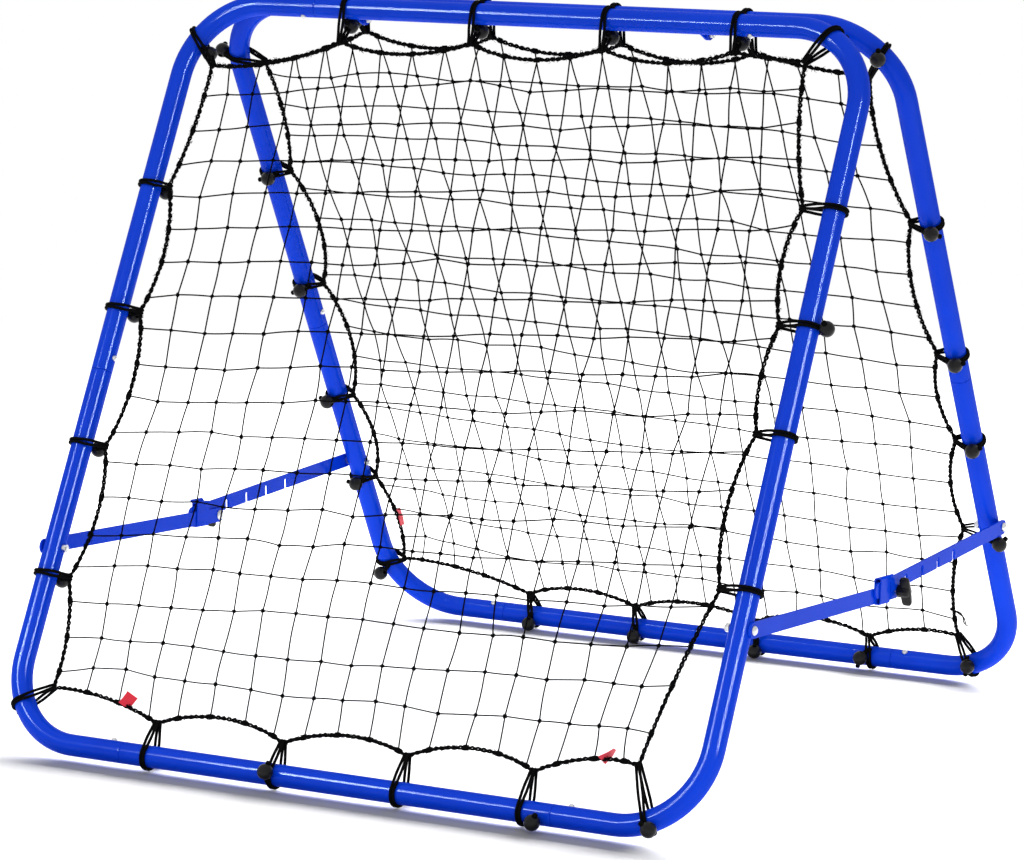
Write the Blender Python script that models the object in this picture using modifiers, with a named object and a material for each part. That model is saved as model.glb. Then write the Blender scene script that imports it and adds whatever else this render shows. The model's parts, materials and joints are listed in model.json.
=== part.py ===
"""Folding two-net ball rebounder: two tube frames hinged at the top bars.

Each frame carries a square-mesh net on a border rope that is tied to the tube
with elastic ball loops. Two flat stays on each side hold the frames apart.

Axes: X along the crossbars, Y from the front frame to the rear one, Z up.
Each frame is built flat first: x across, y down the leg from the top bar's
centre line, z out of the net's outer face. A matrix then stands it up.
"""
import math

import bmesh
import bpy
from mathutils import Matrix, Vector

# sizes in metres
TUBE_D = 0.0286            # outside diameter of the frame tube
WALL = 0.0015              # tube wall
HALF_WIDTH = 0.505         # frame centre to leg centre line
LEG = 1.048                # top bar centre line to bottom bar centre line
BEND_R = 0.108             # centre-line radius of each corner bend
BAR_HALF = 0.315           # half length of the straight top and bottom bars
LEG_SEAM = 0.540           # top bar centre line down to the seam in the leg
TILT = math.radians(27.24)  # lean of each frame from upright
BAR_SPREAD = 0.0552        # distance between the two top bars' centre lines
GAP = 0.0003               # clearance between pieces that touch
SWAGE = 0.045              # length of the narrowed end inside the next tube
SWAGE_WALL = 0.0014
TUBE_SIDES = 12
BEND_STEPS = 6

BUTTON_D = 0.0080          # snap button
BUTTON_RISE = 0.0034       # how far it stands out of the tube
BUTTON_BACK = 0.020        # seam to button centre
BUTTON_FLANGE = 0.0102
BUTTON_CLEAR = 0.0003      # radial clearance in the two tube walls

HINGE_X = 0.2585           # hinges sit this far from the middle
HINGE_DROP = 0.0150        # bar centre line down to the hinge axis
LUG_T = 0.0030
LUG_R = 0.0085
LUG_ROOT_R = 0.0095
HINGE_BOLT_D = 0.0060

STAY_DOWN = 0.7885         # top bar centre line down the leg to the stay pivot
STAY_W = 0.0200            # height of the flat stay bar
STAY_T = 0.0030
STAY_CORNER = 0.0097       # rounding of the bar ends
PIVOT_BOLT_D = 0.0060
LOCK_Y = 0.0350            # lock bolt's place behind the middle plane
LOCK_SAG = 0.0260          # and below the line between the two pivots
LOCK_BOLT_D = 0.0056
TAIL_PAST = 0.072          # rear stay's reach past the lock bolt
SLOT_COUNT = 5
SLOT_AHEAD = 0.0272         # first slot's place past the lock bolt
SLOT_PITCH = 0.0522
SLOT_W = 0.0076
SLOT_DEEP = 0.0150
CLIP_BACK = 0.045          # lock bolt to the middle of the clip
CLIP_LEN = 0.030
CLIP_T = 0.0016
CLIP_PLAY = 0.0026
LIP_H = 0.0055
LIP_LEAN = math.radians(45)
HUB_D = 0.0170
HUB_LEN = 0.0195
WING_SPAN = 0.042
WING_TURN = math.radians(18)
WING_H = 0.0140
WING_T = 0.0055

NET_CELLS = 10             # meshes each way, two to each bow of the rope
NET_T = 0.0019             # strand thickness
ROPE_R = 0.0028            # border rope radius
CORD_R = 0.0021            # elastic loop radius
CORD_STEPS = 6
BALL_R = 0.0103
SCALLOP = 0.021            # how far the rope bows in between two loops
FLOOR_CUT = 0.0004         # flat taken off the loops that stand on the floor
TIE_KNOTS = (2, 4, 6, 8)   # net knots where the loops hold the rope

TAG_W = 0.0170
TAG_H = 0.0210
TAG_T = 0.0008

# where the loops hold the rope, as shares of the half width across and of the
# leg down from the top bar, with the turn of each ball round the tube in degrees
# (0 = towards the net, 90 = out of the outer face). "left" is the side at -X.
FRONT_TIES = {
    "top": [(-0.5426, 0.0391, 320), (-0.1228, 0.0353, 315), (0.2535, 0.0353, 315),
            (0.6257, 0.0372, 315)],
    "bottom": [(-0.5386, 0.9599, 300), (-0.1743, 0.9599, 96), (0.2218, 0.9561, 126),
               (0.5663, 0.9542, 126)],
    "left": [(-0.9366, 0.2557, 300), (-0.9287, 0.4294, 50), (-0.9228, 0.6164, 55),
             (-0.9228, 0.7882, 300)],
    "right": [(0.9267, 0.2347, 300), (0.9347, 0.3826, 180), (0.9327, 0.5344, 300),
              (0.9267, 0.7042, 300)],
}
REAR_TIES = {
    "top": [(-0.5624, 0.0363, 300), (-0.1743, 0.0363, 300), (0.2139, 0.0382, 300),
            (0.5941, 0.0429, 300)],
    "bottom": [(-0.5188, 0.9590, 262), (-0.1624, 0.9580, 240), (0.2099, 0.9590, 250),
               (0.5743, 0.9618, 245)],
    "left": [(-0.9267, 0.2538, 290), (-0.9248, 0.4351, 285), (-0.9426, 0.6250, 282),
             (-0.9386, 0.7748, 270)],
    "right": [(0.9386, 0.2824, 275), (0.9446, 0.4676, 280), (0.9446, 0.6107, 275),
              (0.9347, 0.7748, 255)],
}
FRONT_CORNERS = {"top_left": (-0.9010, 0.0725, 60), "top_right": (0.8832, 0.0649, 300),
                 "bottom_left": (-0.8832, 0.9332, 300),
                 "bottom_right": (0.8713, 0.9294, 120)}
REAR_CORNERS = {"top_left": (-0.9030, 0.0802, 190), "top_right": (0.9030, 0.0725, 280),
                "bottom_left": (-0.8990, 0.9256, 230),
                "bottom_right": (0.8792, 0.9389, 240)}
# tags: frame, side, how far along that side, turn in degrees
TAGS = [("front", "bottom", 0.15, 25.0), ("front", "bottom", 0.93, -50.0),
        ("rear", "left", 0.87, 80.0)]

TUBE_R = TUBE_D / 2
BORE_R = TUBE_R - WALL
SWAGE_R = BORE_R - GAP
SWAGE_BORE = SWAGE_R - SWAGE_WALL
LOOP_R = (TUBE_R + GAP + CORD_R) / math.cos(math.pi / (1.55 * CORD_STEPS))
FOOT = LOOP_R + CORD_R - FLOOR_CUT
TOP_Z = LEG * math.cos(TILT) + FOOT
HINGE_Z = TOP_Z - HINGE_DROP
STAY_IN = HALF_WIDTH + TUBE_R + GAP        # inner face of the front stay
STAY_MID = STAY_IN + STAY_T + GAP          # inner face of the rear stay
STAY_OUT = STAY_MID + STAY_T
PIVOT_Y = BAR_SPREAD / 2 + STAY_DOWN * math.sin(TILT)
PIVOT_Z = TOP_Z - STAY_DOWN * math.cos(TILT)
LOCK_Z = PIVOT_Z - LOCK_SAG
FACE_TURN = -TILT - math.pi / TUBE_SIDES   # puts one tube facet level below

COLOURS = {
    "frame_blue": ((0.012, 0.045, 0.60, 1), 0.0, 0.22),
    "zinc_steel": ((0.60, 0.61, 0.62, 1), 1.0, 0.30),
    "black_plastic": ((0.015, 0.015, 0.016, 1), 0.0, 0.40),
    "black_cord": ((0.012, 0.012, 0.012, 1), 0.0, 0.85),
    "red_fabric": ((0.70, 0.02, 0.04, 1), 0.0, 0.80),
}


def clear_scene():
    for obj in list(bpy.data.objects):
        bpy.data.objects.remove(obj, do_unlink=True)
    for col in list(bpy.data.collections):
        bpy.data.collections.remove(col)


def material(name):
    mat = bpy.data.materials.get(name)
    if mat is None:
        colour, metal, rough = COLOURS[name]
        mat = bpy.data.materials.new(name)
        mat.use_nodes = True
        shader = mat.node_tree.nodes["Principled BSDF"]
        shader.inputs["Base Color"].default_value = colour
        shader.inputs["Metallic"].default_value = metal
        shader.inputs["Roughness"].default_value = rough
        mat.diffuse_color = colour
    return mat


def collection(name):
    col = bpy.data.collections.get(name)
    if col is None:
        col = bpy.data.collections.new(name)
        bpy.context.scene.collection.children.link(col)
    return col


def to_object(bm, name, mat):
    bmesh.ops.recalc_face_normals(bm, faces=bm.faces[:])
    mesh = bpy.data.meshes.new(name)
    bm.to_mesh(mesh)
    bm.free()
    mesh.materials.append(material(mat))
    obj = bpy.data.objects.new(name, mesh)
    collection("Rebounder").objects.link(obj)
    return obj


def bake(obj):
    """Keep the result of the modifiers and drop them."""
    graph = bpy.context.evaluated_depsgraph_get()
    graph.update()
    mesh = bpy.data.meshes.new_from_object(obj.evaluated_get(graph))
    old = obj.data
    obj.modifiers.clear()
    obj.data = mesh
    mesh.name = obj.name
    bpy.data.meshes.remove(old)


def combine(obj, other, operation):
    mod = obj.modifiers.new(operation.lower(), "BOOLEAN")
    mod.operation = operation
    mod.solver = "EXACT"
    mod.object = other
    bake(obj)
    bpy.data.objects.remove(other, do_unlink=True)


def move(obj, matrix):
    obj.data.transform(matrix)
    if matrix.determinant() < 0:
        obj.data.flip_normals()


# sweeps

def station(pos, across, normal, radius, stretch=1.0):
    """Matrix that puts a unit circle at pos, square to across x normal."""
    x = Vector(across).normalized()
    y = Vector(normal).normalized()
    z = x.cross(y)
    mat = Matrix((x * radius * stretch, y * radius, z)).transposed().to_4x4()
    mat.translation = Vector(pos)
    return mat


def sweep(name, stations, sides, mat, turn=0.0, closed=False):
    """Carry a circle through the stations, then cap or close it."""
    bm = bmesh.new()
    bmesh.ops.create_circle(bm, segments=sides, radius=1.0)
    spin = Matrix.Rotation(turn, 4, "Z")
    bmesh.ops.transform(bm, matrix=stations[0] @ spin, verts=bm.verts[:])
    first = bm.edges[:]
    edges = first
    for before, after in zip(stations, stations[1:]):
        out = bmesh.ops.extrude_edge_only(bm, edges=edges)["geom"]
        verts = [g for g in out if isinstance(g, bmesh.types.BMVert)]
        fresh = set(verts)
        edges = [g for g in out if isinstance(g, bmesh.types.BMEdge)
                 and g.verts[0] in fresh and g.verts[1] in fresh]
        bmesh.ops.transform(bm, matrix=after @ before.inverted(), verts=verts)
    if closed:
        bmesh.ops.bridge_loops(bm, edges=first + edges)
    else:
        bmesh.ops.contextual_create(bm, geom=first)
        bmesh.ops.contextual_create(bm, geom=edges)
    return to_object(bm, name, mat)


def turned(name, profile, base, axis, side, sides, mat):
    """Round piece from (distance along axis, radius) pairs."""
    axis = Vector(axis).normalized()
    side = Vector(side).normalized()
    stations = [station(Vector(base) + axis * d, side, axis.cross(side), r)
                for d, r in profile]
    return sweep(name, stations, sides, mat)


def planar_loop(name, points, normal, radius, sides, mat, closed):
    """Cord through points that lie in one plane, mitred at each point."""
    n = Vector(normal).normalized()
    count = len(points)
    stations = []
    for i, p in enumerate(points):
        back = points[i] - points[i - 1] if (i or closed) else None
        ahead = points[(i + 1) % count] - points[i] if (i < count - 1 or closed) else None
        a = (back or ahead).normalized()
        b = (ahead or back).normalized()
        tangent = (a + b).normalized()
        stretch = 1.0 / max(0.8, tangent.dot(a))
        stations.append(station(p, n.cross(tangent), n, radius, stretch))
    return sweep(name, stations, sides, mat, math.pi / 4 if sides == 4 else 0.0, closed)


def plate(name, size, corner, steps, mat):
    """Flat plate, thin along x, with the four corners rounded."""
    bm = bmesh.new()
    bmesh.ops.create_cube(bm, size=1.0)
    bmesh.ops.scale(bm, vec=size, verts=bm.verts[:])
    edges = [e for e in bm.edges
             if abs((e.verts[0].co - e.verts[1].co).normalized().x) > 0.9]
    bmesh.ops.bevel(bm, geom=edges, offset=corner, segments=steps, affect="EDGES",
                    profile=0.5)
    return to_object(bm, name, mat)


def block(name, low, high, mat="zinc_steel"):
    bm = bmesh.new()
    bmesh.ops.create_cube(bm, size=1.0)
    low, high = Vector(low), Vector(high)
    bmesh.ops.scale(bm, vec=high - low, verts=bm.verts[:])
    bmesh.ops.translate(bm, vec=(low + high) / 2, verts=bm.verts[:])
    return to_object(bm, name, mat)


def drill(obj, base, axis, side, radius, length, sides=8):
    tool = turned("drill", [(0.0, radius), (length, radius)], base, axis, side, sides,
                  "zinc_steel")
    combine(obj, tool, "DIFFERENCE")


# the standing frames

def frame_matrix(which):
    """Flat frame to standing frame. The front one is the rear one turned round."""
    sa, ca = math.sin(TILT), math.cos(TILT)
    mat = Matrix(((1, 0, 0), (0, sa, ca), (0, -ca, sa))).to_4x4()
    mat.translation = Vector((0.0, BAR_SPREAD / 2, TOP_Z))
    if which == "front":
        mat = Matrix.Rotation(math.pi, 4, "Z") @ mat
    return mat


def local_x(which, x):
    """The front frame is turned round, so its own x runs the other way."""
    return -x if which == "front" else x


def side_sign(which, side):
    return local_x(which, -1.0 if side == "left" else 1.0)


# tubes

def straight_bar(name, y):
    """Top or bottom bar: full tube with a narrowed end each side."""
    end = BAR_HALF + SWAGE
    rings = [(-end, SWAGE_R), (-BAR_HALF, SWAGE_R), (-BAR_HALF, TUBE_R),
             (BAR_HALF, TUBE_R), (BAR_HALF, SWAGE_R), (end, SWAGE_R),
             (end, SWAGE_BORE), (-end, SWAGE_BORE)]
    out = -1.0 if y < LEG / 2 else 1.0
    stations = [station((x, y, 0), (0, out, 0), (0, 0, 1), r) for x, r in rings]
    return sweep(name, stations, TUBE_SIDES, "frame_blue", ring_turn(), closed=True)


def ring_turn():
    return FACE_TURN


def corner_path(sx, top):
    """Places and outward directions from the bar seam to the leg seam."""
    y0, down = (0.0, 1.0) if top else (LEG, -1.0)
    centre = Vector((sx * (HALF_WIDTH - BEND_R), y0 + down * BEND_R, 0))
    path = [(Vector((sx * (BAR_HALF + GAP), y0, 0)), Vector((0, -down, 0)))]
    for i in range(BEND_STEPS + 1):
        t = math.pi / 2 * i / BEND_STEPS
        out = Vector((sx * math.sin(t), -down * math.cos(t), 0))
        path.append((centre + out * BEND_R, out))
    leg_end = LEG_SEAM - GAP / 2 if top else LEG_SEAM + GAP / 2
    path.append((Vector((sx * HALF_WIDTH, leg_end, 0)), Vector((sx, 0, 0))))
    return path


def corner_tube(name, sx, top):
    """Corner piece: short stub, bend and half a leg; lower ones end narrowed."""
    path = corner_path(sx, top)
    rings = [(p, out, TUBE_R) for p, out in path]
    last, out = path[-1]
    if top:
        rings.append((last, out, BORE_R))
    else:
        tip = last - Vector((0, SWAGE, 0))
        root = last + Vector((0, 0.004, 0))
        rings += [(last, out, SWAGE_R), (tip, out, SWAGE_R), (tip, out, SWAGE_BORE),
                  (root, out, SWAGE_BORE), (root, out, BORE_R)]
    rings += [(p, o, BORE_R) for p, o in reversed(path[:-1])]
    stations = [station(p, o, (0, 0, 1), r) for p, o, r in rings]
    return sweep(name, stations, TUBE_SIDES, "frame_blue", ring_turn(), closed=True)


def button_places():
    """Button centre on the tube axis, its outward direction and its two tubes."""
    places = []
    for end, sx in (("m", -1.0), ("p", 1.0)):
        x = sx * (BAR_HALF + BUTTON_BACK)
        places.append(("top_" + end, Vector((x, 0, 0)), Vector((0, 1, 0)),
                       "top_corner_" + end, "top_bar"))
        places.append(("bottom_" + end, Vector((x, LEG, 0)), Vector((0, -1, 0)),
                       "bottom_corner_" + end, "bottom_bar"))
        places.append(("leg_" + end, Vector((sx * HALF_WIDTH, LEG_SEAM - BUTTON_BACK, 0)),
                       Vector((-sx, 0, 0)), "top_corner_" + end, "bottom_corner_" + end))
    return places


def snap_button(name, place, out):
    """Domed pin with a flange that sits inside the narrowed tube."""
    r = BUTTON_D / 2
    flange = BUTTON_FLANGE / 2
    seat = math.sqrt((SWAGE_BORE * math.cos(math.pi / TUBE_SIDES) - GAP) ** 2
                     - flange ** 2)
    top = TUBE_R + BUTTON_RISE
    profile = [(seat - 0.0012, flange), (seat, flange), (seat, r), (top - r * 0.62, r),
               (top - r * 0.20, r * 0.74), (top, r * 0.30)]
    return turned(name, profile, place, out, (0, 0, 1), 8, "zinc_steel")


# border rope, loops and net

def tie_points(which, side):
    ties = FRONT_TIES if which == "front" else REAR_TIES
    corners = FRONT_CORNERS if which == "front" else REAR_CORNERS
    first, last = {"top": ("top_left", "top_right"),
                   "bottom": ("bottom_left", "bottom_right"),
                   "left": ("top_left", "bottom_left"),
                   "right": ("top_right", "bottom_right")}[side]
    shares = [corners[first]] + ties[side] + [corners[last]]
    return [(x * HALF_WIDTH, y * LEG, turn) for x, y, turn in shares]


def inward(side):
    return {"top": Vector((0, 1, 0)), "bottom": Vector((0, -1, 0)),
            "left": Vector((1, 0, 0)), "right": Vector((-1, 0, 0))}[side]


def rope_points(which, side):
    """Rope through the loops, bowed in between them, one point per net knot."""
    ties = tie_points(which, side)
    knots = (0,) + TIE_KNOTS + (NET_CELLS,)
    points = []
    for k, (a, b) in enumerate(zip(ties, ties[1:])):
        pa, pb = Vector((a[0], a[1], 0)), Vector((b[0], b[1], 0))
        steps = knots[k + 1] - knots[k]
        for i in range(steps):
            t = i / steps
            points.append(pa.lerp(pb, t) + inward(side) * SCALLOP * math.sin(math.pi * t))
    points.append(Vector((ties[-1][0], ties[-1][1], 0)))
    return points


def inset(points, side, distance):
    """Same line moved towards the net, mitred at each knot."""
    squares = []
    for p, q in zip(points, points[1:]):
        run = (q - p).normalized()
        square = Vector((-run.y, run.x, 0))
        squares.append(square if square.dot(inward(side)) > 0 else -square)
    moved = []
    for i, p in enumerate(points):
        before = squares[max(i - 1, 0)]
        after = squares[min(i, len(squares) - 1)]
        mid = (before + after).normalized()
        moved.append(p + mid * distance / mid.dot(after))
    return moved


def net(which):
    """Square-mesh net whose edge runs just inside the border rope."""
    clear = ROPE_R + GAP + NET_T / 2
    edge = {s: inset(rope_points(which, s), s, clear)
            for s in ("top", "bottom", "left", "right")}
    n = NET_CELLS
    corner = {}
    for name, a, b in (("tl", "top", "left"), ("tr", "top", "right"),
                       ("bl", "bottom", "left"), ("br", "bottom", "right")):
        i = 0 if name[1] == "l" else n
        j = 0 if name[0] == "t" else n
        corner[name] = Vector((edge[b][j].x, edge[a][i].y, 0))
    edge["top"][0] = edge["left"][0] = corner["tl"]
    edge["top"][n] = edge["right"][0] = corner["tr"]
    edge["bottom"][0] = edge["left"][n] = corner["bl"]
    edge["bottom"][n] = edge["right"][n] = corner["br"]
    bm = bmesh.new()
    bmesh.ops.create_grid(bm, x_segments=n, y_segments=n, size=0.5)
    for v in bm.verts:
        i, j = round((v.co.x + 0.5) * n), round((v.co.y + 0.5) * n)
        a, b = i / n, j / n
        flat = ((1 - b) * edge["top"][i] + b * edge["bottom"][i]
                + (1 - a) * edge["left"][j] + a * edge["right"][j]
                - (1 - a) * (1 - b) * corner["tl"] - a * (1 - b) * corner["tr"]
                - (1 - a) * b * corner["bl"] - a * b * corner["br"])
        v.co = Vector((local_x(which, flat.x), flat.y, 0))
    obj = to_object(bm, which + "_net", "black_cord")
    wire = obj.modifiers.new("strands", "WIREFRAME")
    wire.thickness = NET_T
    wire.offset = 0.0
    wire.use_boundary = True
    wire.use_replace = True
    wire.use_even_offset = True
    bake(obj)
    return obj


def ball(centre, name):
    bm = bmesh.new()
    bmesh.ops.create_icosphere(bm, subdivisions=1, radius=BALL_R)
    bmesh.ops.translate(bm, vec=centre, verts=bm.verts[:])
    return to_object(bm, name, "black_plastic")


def tie(which, side, point):
    """Elastic loop round tube and rope, with its ball. Returns both solids."""
    x, y, turn = point
    hold = Vector((local_x(which, x), y, 0))
    axis, centre = tube_at(which, side, point)
    e1 = (hold - centre)
    reach = e1.length
    e1.normalize()
    e2 = Vector((0, 0, 1))
    lean = math.acos(min(0.95, LOOP_R / reach))
    points = [hold]
    for i in range(CORD_STEPS + 1):
        t = lean + (2 * math.pi - 2 * lean) * i / CORD_STEPS
        points.append(centre + (e1 * math.cos(t) + e2 * math.sin(t)) * LOOP_R)
    loop = planar_loop("loop", points, e1.cross(e2), CORD_R, 3, "black_cord", True)
    t = math.radians(turn)
    away = TUBE_R + GAP + BALL_R
    bead = ball(centre + (e1 * math.cos(t) + e2 * math.sin(t)) * away, "ball")
    return loop, bead


def tube_at(which, side, point):
    """Tube axis direction and the axis point nearest to where the loop pulls."""
    x = local_x(which, point[0])
    y = point[1]
    if side in ("top", "bottom"):
        return Vector((1, 0, 0)), Vector((x, 0 if side == "top" else LEG, 0))
    if side in ("left", "right"):
        return Vector((0, 1, 0)), Vector((side_sign(which, side) * HALF_WIDTH, y, 0))
    sx = math.copysign(1.0, x)
    sy = -1.0 if side == "corner_top" else 1.0
    mid = Vector((sx * (HALF_WIDTH - BEND_R), BEND_R if sy < 0 else LEG - BEND_R, 0))
    hold = Vector((x, y, 0))
    out = (hold - mid).normalized()
    return Vector((-out.y, out.x, 0)), mid + out * BEND_R


def rope_side(which, side):
    """One side of the border rope with its loops and balls, as one solid."""
    points = [Vector((local_x(which, p.x), p.y, 0)) for p in rope_points(which, side)]
    if side in ("left", "right"):
        short = ROPE_R + CORD_R + 4 * GAP
        points[0] = points[0] + (points[1] - points[0]).normalized() * short
        points[-1] = points[-1] + (points[-2] - points[-1]).normalized() * short
    rope = planar_loop(which + "_rope_" + side, points, (0, 0, 1), ROPE_R, 4,
                       "black_cord", False)
    ties = [(side, p) for p in tie_points(which, side)[1:-1]]
    if side in ("top", "bottom"):
        ends = tie_points(which, side)
        ties += [("corner_" + side, ends[0]), ("corner_" + side, ends[-1])]
    loops, beads = zip(*[tie(which, s, p) for s, p in ties])
    loops = joined(loops, "loops")
    combine(loops, joined(beads, "balls"), "UNION")
    combine(rope, loops, "UNION")
    return rope


def joined(objects, name):
    bm = bmesh.new()
    for obj in objects:
        bm.from_mesh(obj.data)
    mat = objects[0].data.materials[0].name
    for obj in objects:
        bpy.data.objects.remove(obj, do_unlink=True)
    return to_object(bm, name, mat)


def cut_at_floor(obj):
    """Flat on the underside of the loops that carry the object."""
    deep = 0.02
    tool = block("floor", (-1, -1, -deep), (1, 1, 0.0))
    combine(obj, tool, "DIFFERENCE")


def tag(index, which, side, along, turn):
    """Small cloth tag lying against the rope on the outer face."""
    points = rope_points(which, side)
    f = along * NET_CELLS
    i = min(int(f), NET_CELLS - 1)
    p = points[i].lerp(points[i + 1], f - i)
    obj = plate("tag_%d" % index, (TAG_T, TAG_W, TAG_H), 0.0012, 1, "red_fabric")
    face = 1.0
    lift = ROPE_R + GAP + TAG_T / 2
    place = Matrix.Translation((local_x(which, p.x), p.y, face * lift))
    spin = Matrix.Rotation(math.radians(local_x(which, turn)), 4, "Z")
    up = inward(side)
    slide = Matrix.Translation(up * (TAG_H / 2 - ROPE_R))
    lay = Matrix.Rotation(math.pi / 2, 4, "Y")
    move(obj, place @ Matrix.Translation(Vector((local_x(which, slide.translation.x),
                                                 slide.translation.y, 0))) @ spin @ lay)
    return obj


# hinges and stays

def lug(name, x0, which):
    """Teardrop plate from the top bar to the hinge axis, holed for the bolt."""
    s = -1.0 if which == "front" else 1.0
    root = Vector((0, s * BAR_SPREAD / 2, TOP_Z))
    pivot = Vector((0, 0, HINGE_Z))
    bm = bmesh.new()
    for centre, radius in ((root, LUG_ROOT_R), (pivot, LUG_R)):
        ring = bmesh.ops.create_circle(bm, segments=16, radius=radius)["verts"]
        stand = Matrix.Translation(centre + Vector((x0, 0, 0)))
        bmesh.ops.transform(bm, matrix=stand @ Matrix.Rotation(math.pi / 2, 4, "Y"),
                            verts=ring)
    more = bmesh.ops.duplicate(bm, geom=bm.verts[:])["geom"]
    bmesh.ops.translate(bm, vec=(LUG_T, 0, 0),
                        verts=[g for g in more if isinstance(g, bmesh.types.BMVert)])
    bmesh.ops.convex_hull(bm, input=bm.verts[:], use_existing_faces=False)
    loose = [v for v in bm.verts if not v.link_faces]
    bmesh.ops.delete(bm, geom=loose, context="VERTS")
    bmesh.ops.dissolve_limit(bm, angle_limit=0.01, verts=bm.verts[:], edges=bm.edges[:])
    obj = to_object(bm, name, "frame_blue")
    drill(obj, root + Vector((x0 - 0.01, 0, 0)), (1, 0, 0), (0, 1, 0),
          TUBE_R - WALL / 2, LUG_T + 0.02, TUBE_SIDES)
    drill(obj, pivot + Vector((x0 - 0.01, 0, 0)), (1, 0, 0), (0, 1, 0),
          HINGE_BOLT_D / 2 + GAP, LUG_T + 0.02)
    return obj


def bolt(name, base, axis, shank, head_d, head_h, grip, nut_af, nut_h, collar=None):
    """Domed bolt from base along axis: head outside, shank, hexagon nut."""
    r = head_d / 2
    profile = [(-head_h, r * 0.35), (-head_h * 0.80, r * 0.70), (-head_h * 0.35, r * 0.97),
               (0.0, r), (0.0, shank / 2)]
    if collar:
        start, stop, radius = collar
        profile += [(start, shank / 2), (start, radius), (stop, radius),
                    (stop, shank / 2)]
    profile += [(grip + nut_h + 0.002, shank / 2)]
    obj = turned(name, profile, base, axis, (0, 0, 1), 8, "zinc_steel")
    nut = turned("nut", [(grip, nut_af / math.sqrt(3)), (grip + nut_h, nut_af / math.sqrt(3))],
                 base, axis, (0, 0, 1), 6, "zinc_steel")
    combine(obj, nut, "UNION")
    return obj


def bar_matrix(sx, x, pivot, far):
    """Stands a plate's long z axis along the line from pivot to far."""
    run = (far - pivot).normalized()
    thick = Vector((sx, 0, 0))
    high = run.cross(thick) * -sx
    if high.z < 0:
        high.negate()
    wide = run.cross(high)
    mat = Matrix((wide, high, run)).transposed().to_4x4()
    mat.translation = pivot + Vector((x - pivot.x, 0, 0))
    return mat


def pivots(sx):
    a = Vector((0, -PIVOT_Y, PIVOT_Z))
    b = Vector((0, PIVOT_Y, PIVOT_Z))
    m = Vector((0, LOCK_Y, LOCK_Z))
    return a, b, m


def rear_line(sx):
    """Point above the lock bolt that the rear stay's centre line goes through."""
    a, b, m = pivots(sx)
    rest = STAY_W / 2 + LOCK_BOLT_D / 2 + GAP
    return m + Vector((0, 0, rest))


def front_stay(name, sx):
    a, b, m = pivots(sx)
    length = (m - a).length
    end = STAY_W / 2
    obj = plate(name, (STAY_T, STAY_W, length + 2 * end), STAY_CORNER, 4, "frame_blue")
    move(obj, bar_matrix(sx, sx * (STAY_IN + STAY_T / 2), a, m)
         @ Matrix.Translation((0, 0, length / 2)))
    for point, radius in ((a, PIVOT_BOLT_D / 2 + GAP), (m, LOCK_BOLT_D / 2 + GAP)):
        drill(obj, point + Vector((sx * (STAY_IN - 0.005), 0, 0)), (sx, 0, 0), (0, 1, 0),
              radius, 0.02)
    return obj


def rear_stay(name, sx):
    a, b, m = pivots(sx)
    over = rear_line(sx)
    run = (over - b).length
    length = run + TAIL_PAST
    end = STAY_W / 2
    stand = bar_matrix(sx, sx * (STAY_MID + STAY_T / 2), b, over)
    obj = plate(name, (STAY_T, STAY_W, length + end), STAY_CORNER, 4, "frame_blue")
    move(obj, stand @ Matrix.Translation((0, 0, (length - end) / 2)))
    for k in range(SLOT_COUNT):
        z = run + SLOT_AHEAD - k * SLOT_PITCH
        cut = plate("slot", (0.02, SLOT_DEEP * 2, SLOT_W), SLOT_W * 0.45, 2, "zinc_steel")
        move(cut, stand @ Matrix.Translation((0, -STAY_W / 2, z)))
        combine(obj, cut, "DIFFERENCE")
    drill(obj, b + Vector((sx * (STAY_IN - 0.005), 0, 0)), (sx, 0, 0), (0, 1, 0),
          PIVOT_BOLT_D / 2 + GAP, 0.02)
    return obj


def clip(name, sx):
    """Collar round both stays, fixed on the front one, with a bent lip on top."""
    a, b, m = pivots(sx)
    over = rear_line(sx)
    length = (m - a).length - CLIP_BACK
    stand = bar_matrix(sx, 0.0, a, m)
    back = stand.inverted() @ (over + (over - b).normalized() * CLIP_BACK)
    high = back.y + STAY_W / 2 + CLIP_PLAY
    low = -STAY_W / 2 - GAP
    low_x, high_x = STAY_IN - GAP, STAY_OUT + GAP
    z0, z1 = length - CLIP_LEN / 2, length + CLIP_LEN / 2
    flip = Matrix.Diagonal((1.0 if (stand @ Vector((1, 0, 0))).x > stand.translation.x
                            else -1.0, 1, 1, 1))
    if sx < 0:
        flip = Matrix.Diagonal((-flip[0][0], 1, 1, 1))
    body = block(name, (low_x - CLIP_T, low - CLIP_T, z0), (high_x + CLIP_T, high + CLIP_T, z1),
                 "frame_blue")
    lip = block("lip", (-CLIP_T / 2, -CLIP_T / 2, z0), (CLIP_T / 2, LIP_H, z1), "frame_blue")
    move(lip, Matrix.Translation((high_x + CLIP_T / 2, high + CLIP_T / 2, 0))
         @ Matrix.Rotation(-LIP_LEAN, 4, "Z"))
    combine(body, lip, "UNION")
    hole = block("hole", (low_x, low, z0 - 0.01), (high_x, high, z1 + 0.01))
    combine(body, hole, "DIFFERENCE")
    move(body, stand @ flip)
    return body


def lock_bolt(name, sx):
    a, b, m = pivots(sx)
    r = LOCK_BOLT_D
    profile = [(-0.0040, r * 0.5), (-0.0032, r * 0.95), (-0.0012, r * 1.25), (0, r * 1.27),
               (0, r / 2), (STAY_OUT - STAY_IN + HUB_LEN * 0.8, r / 2)]
    return turned(name, profile, m + Vector((sx * (STAY_IN - GAP), 0, 0)), (sx, 0, 0),
                  (0, 0, 1), 8, "zinc_steel")


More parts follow.
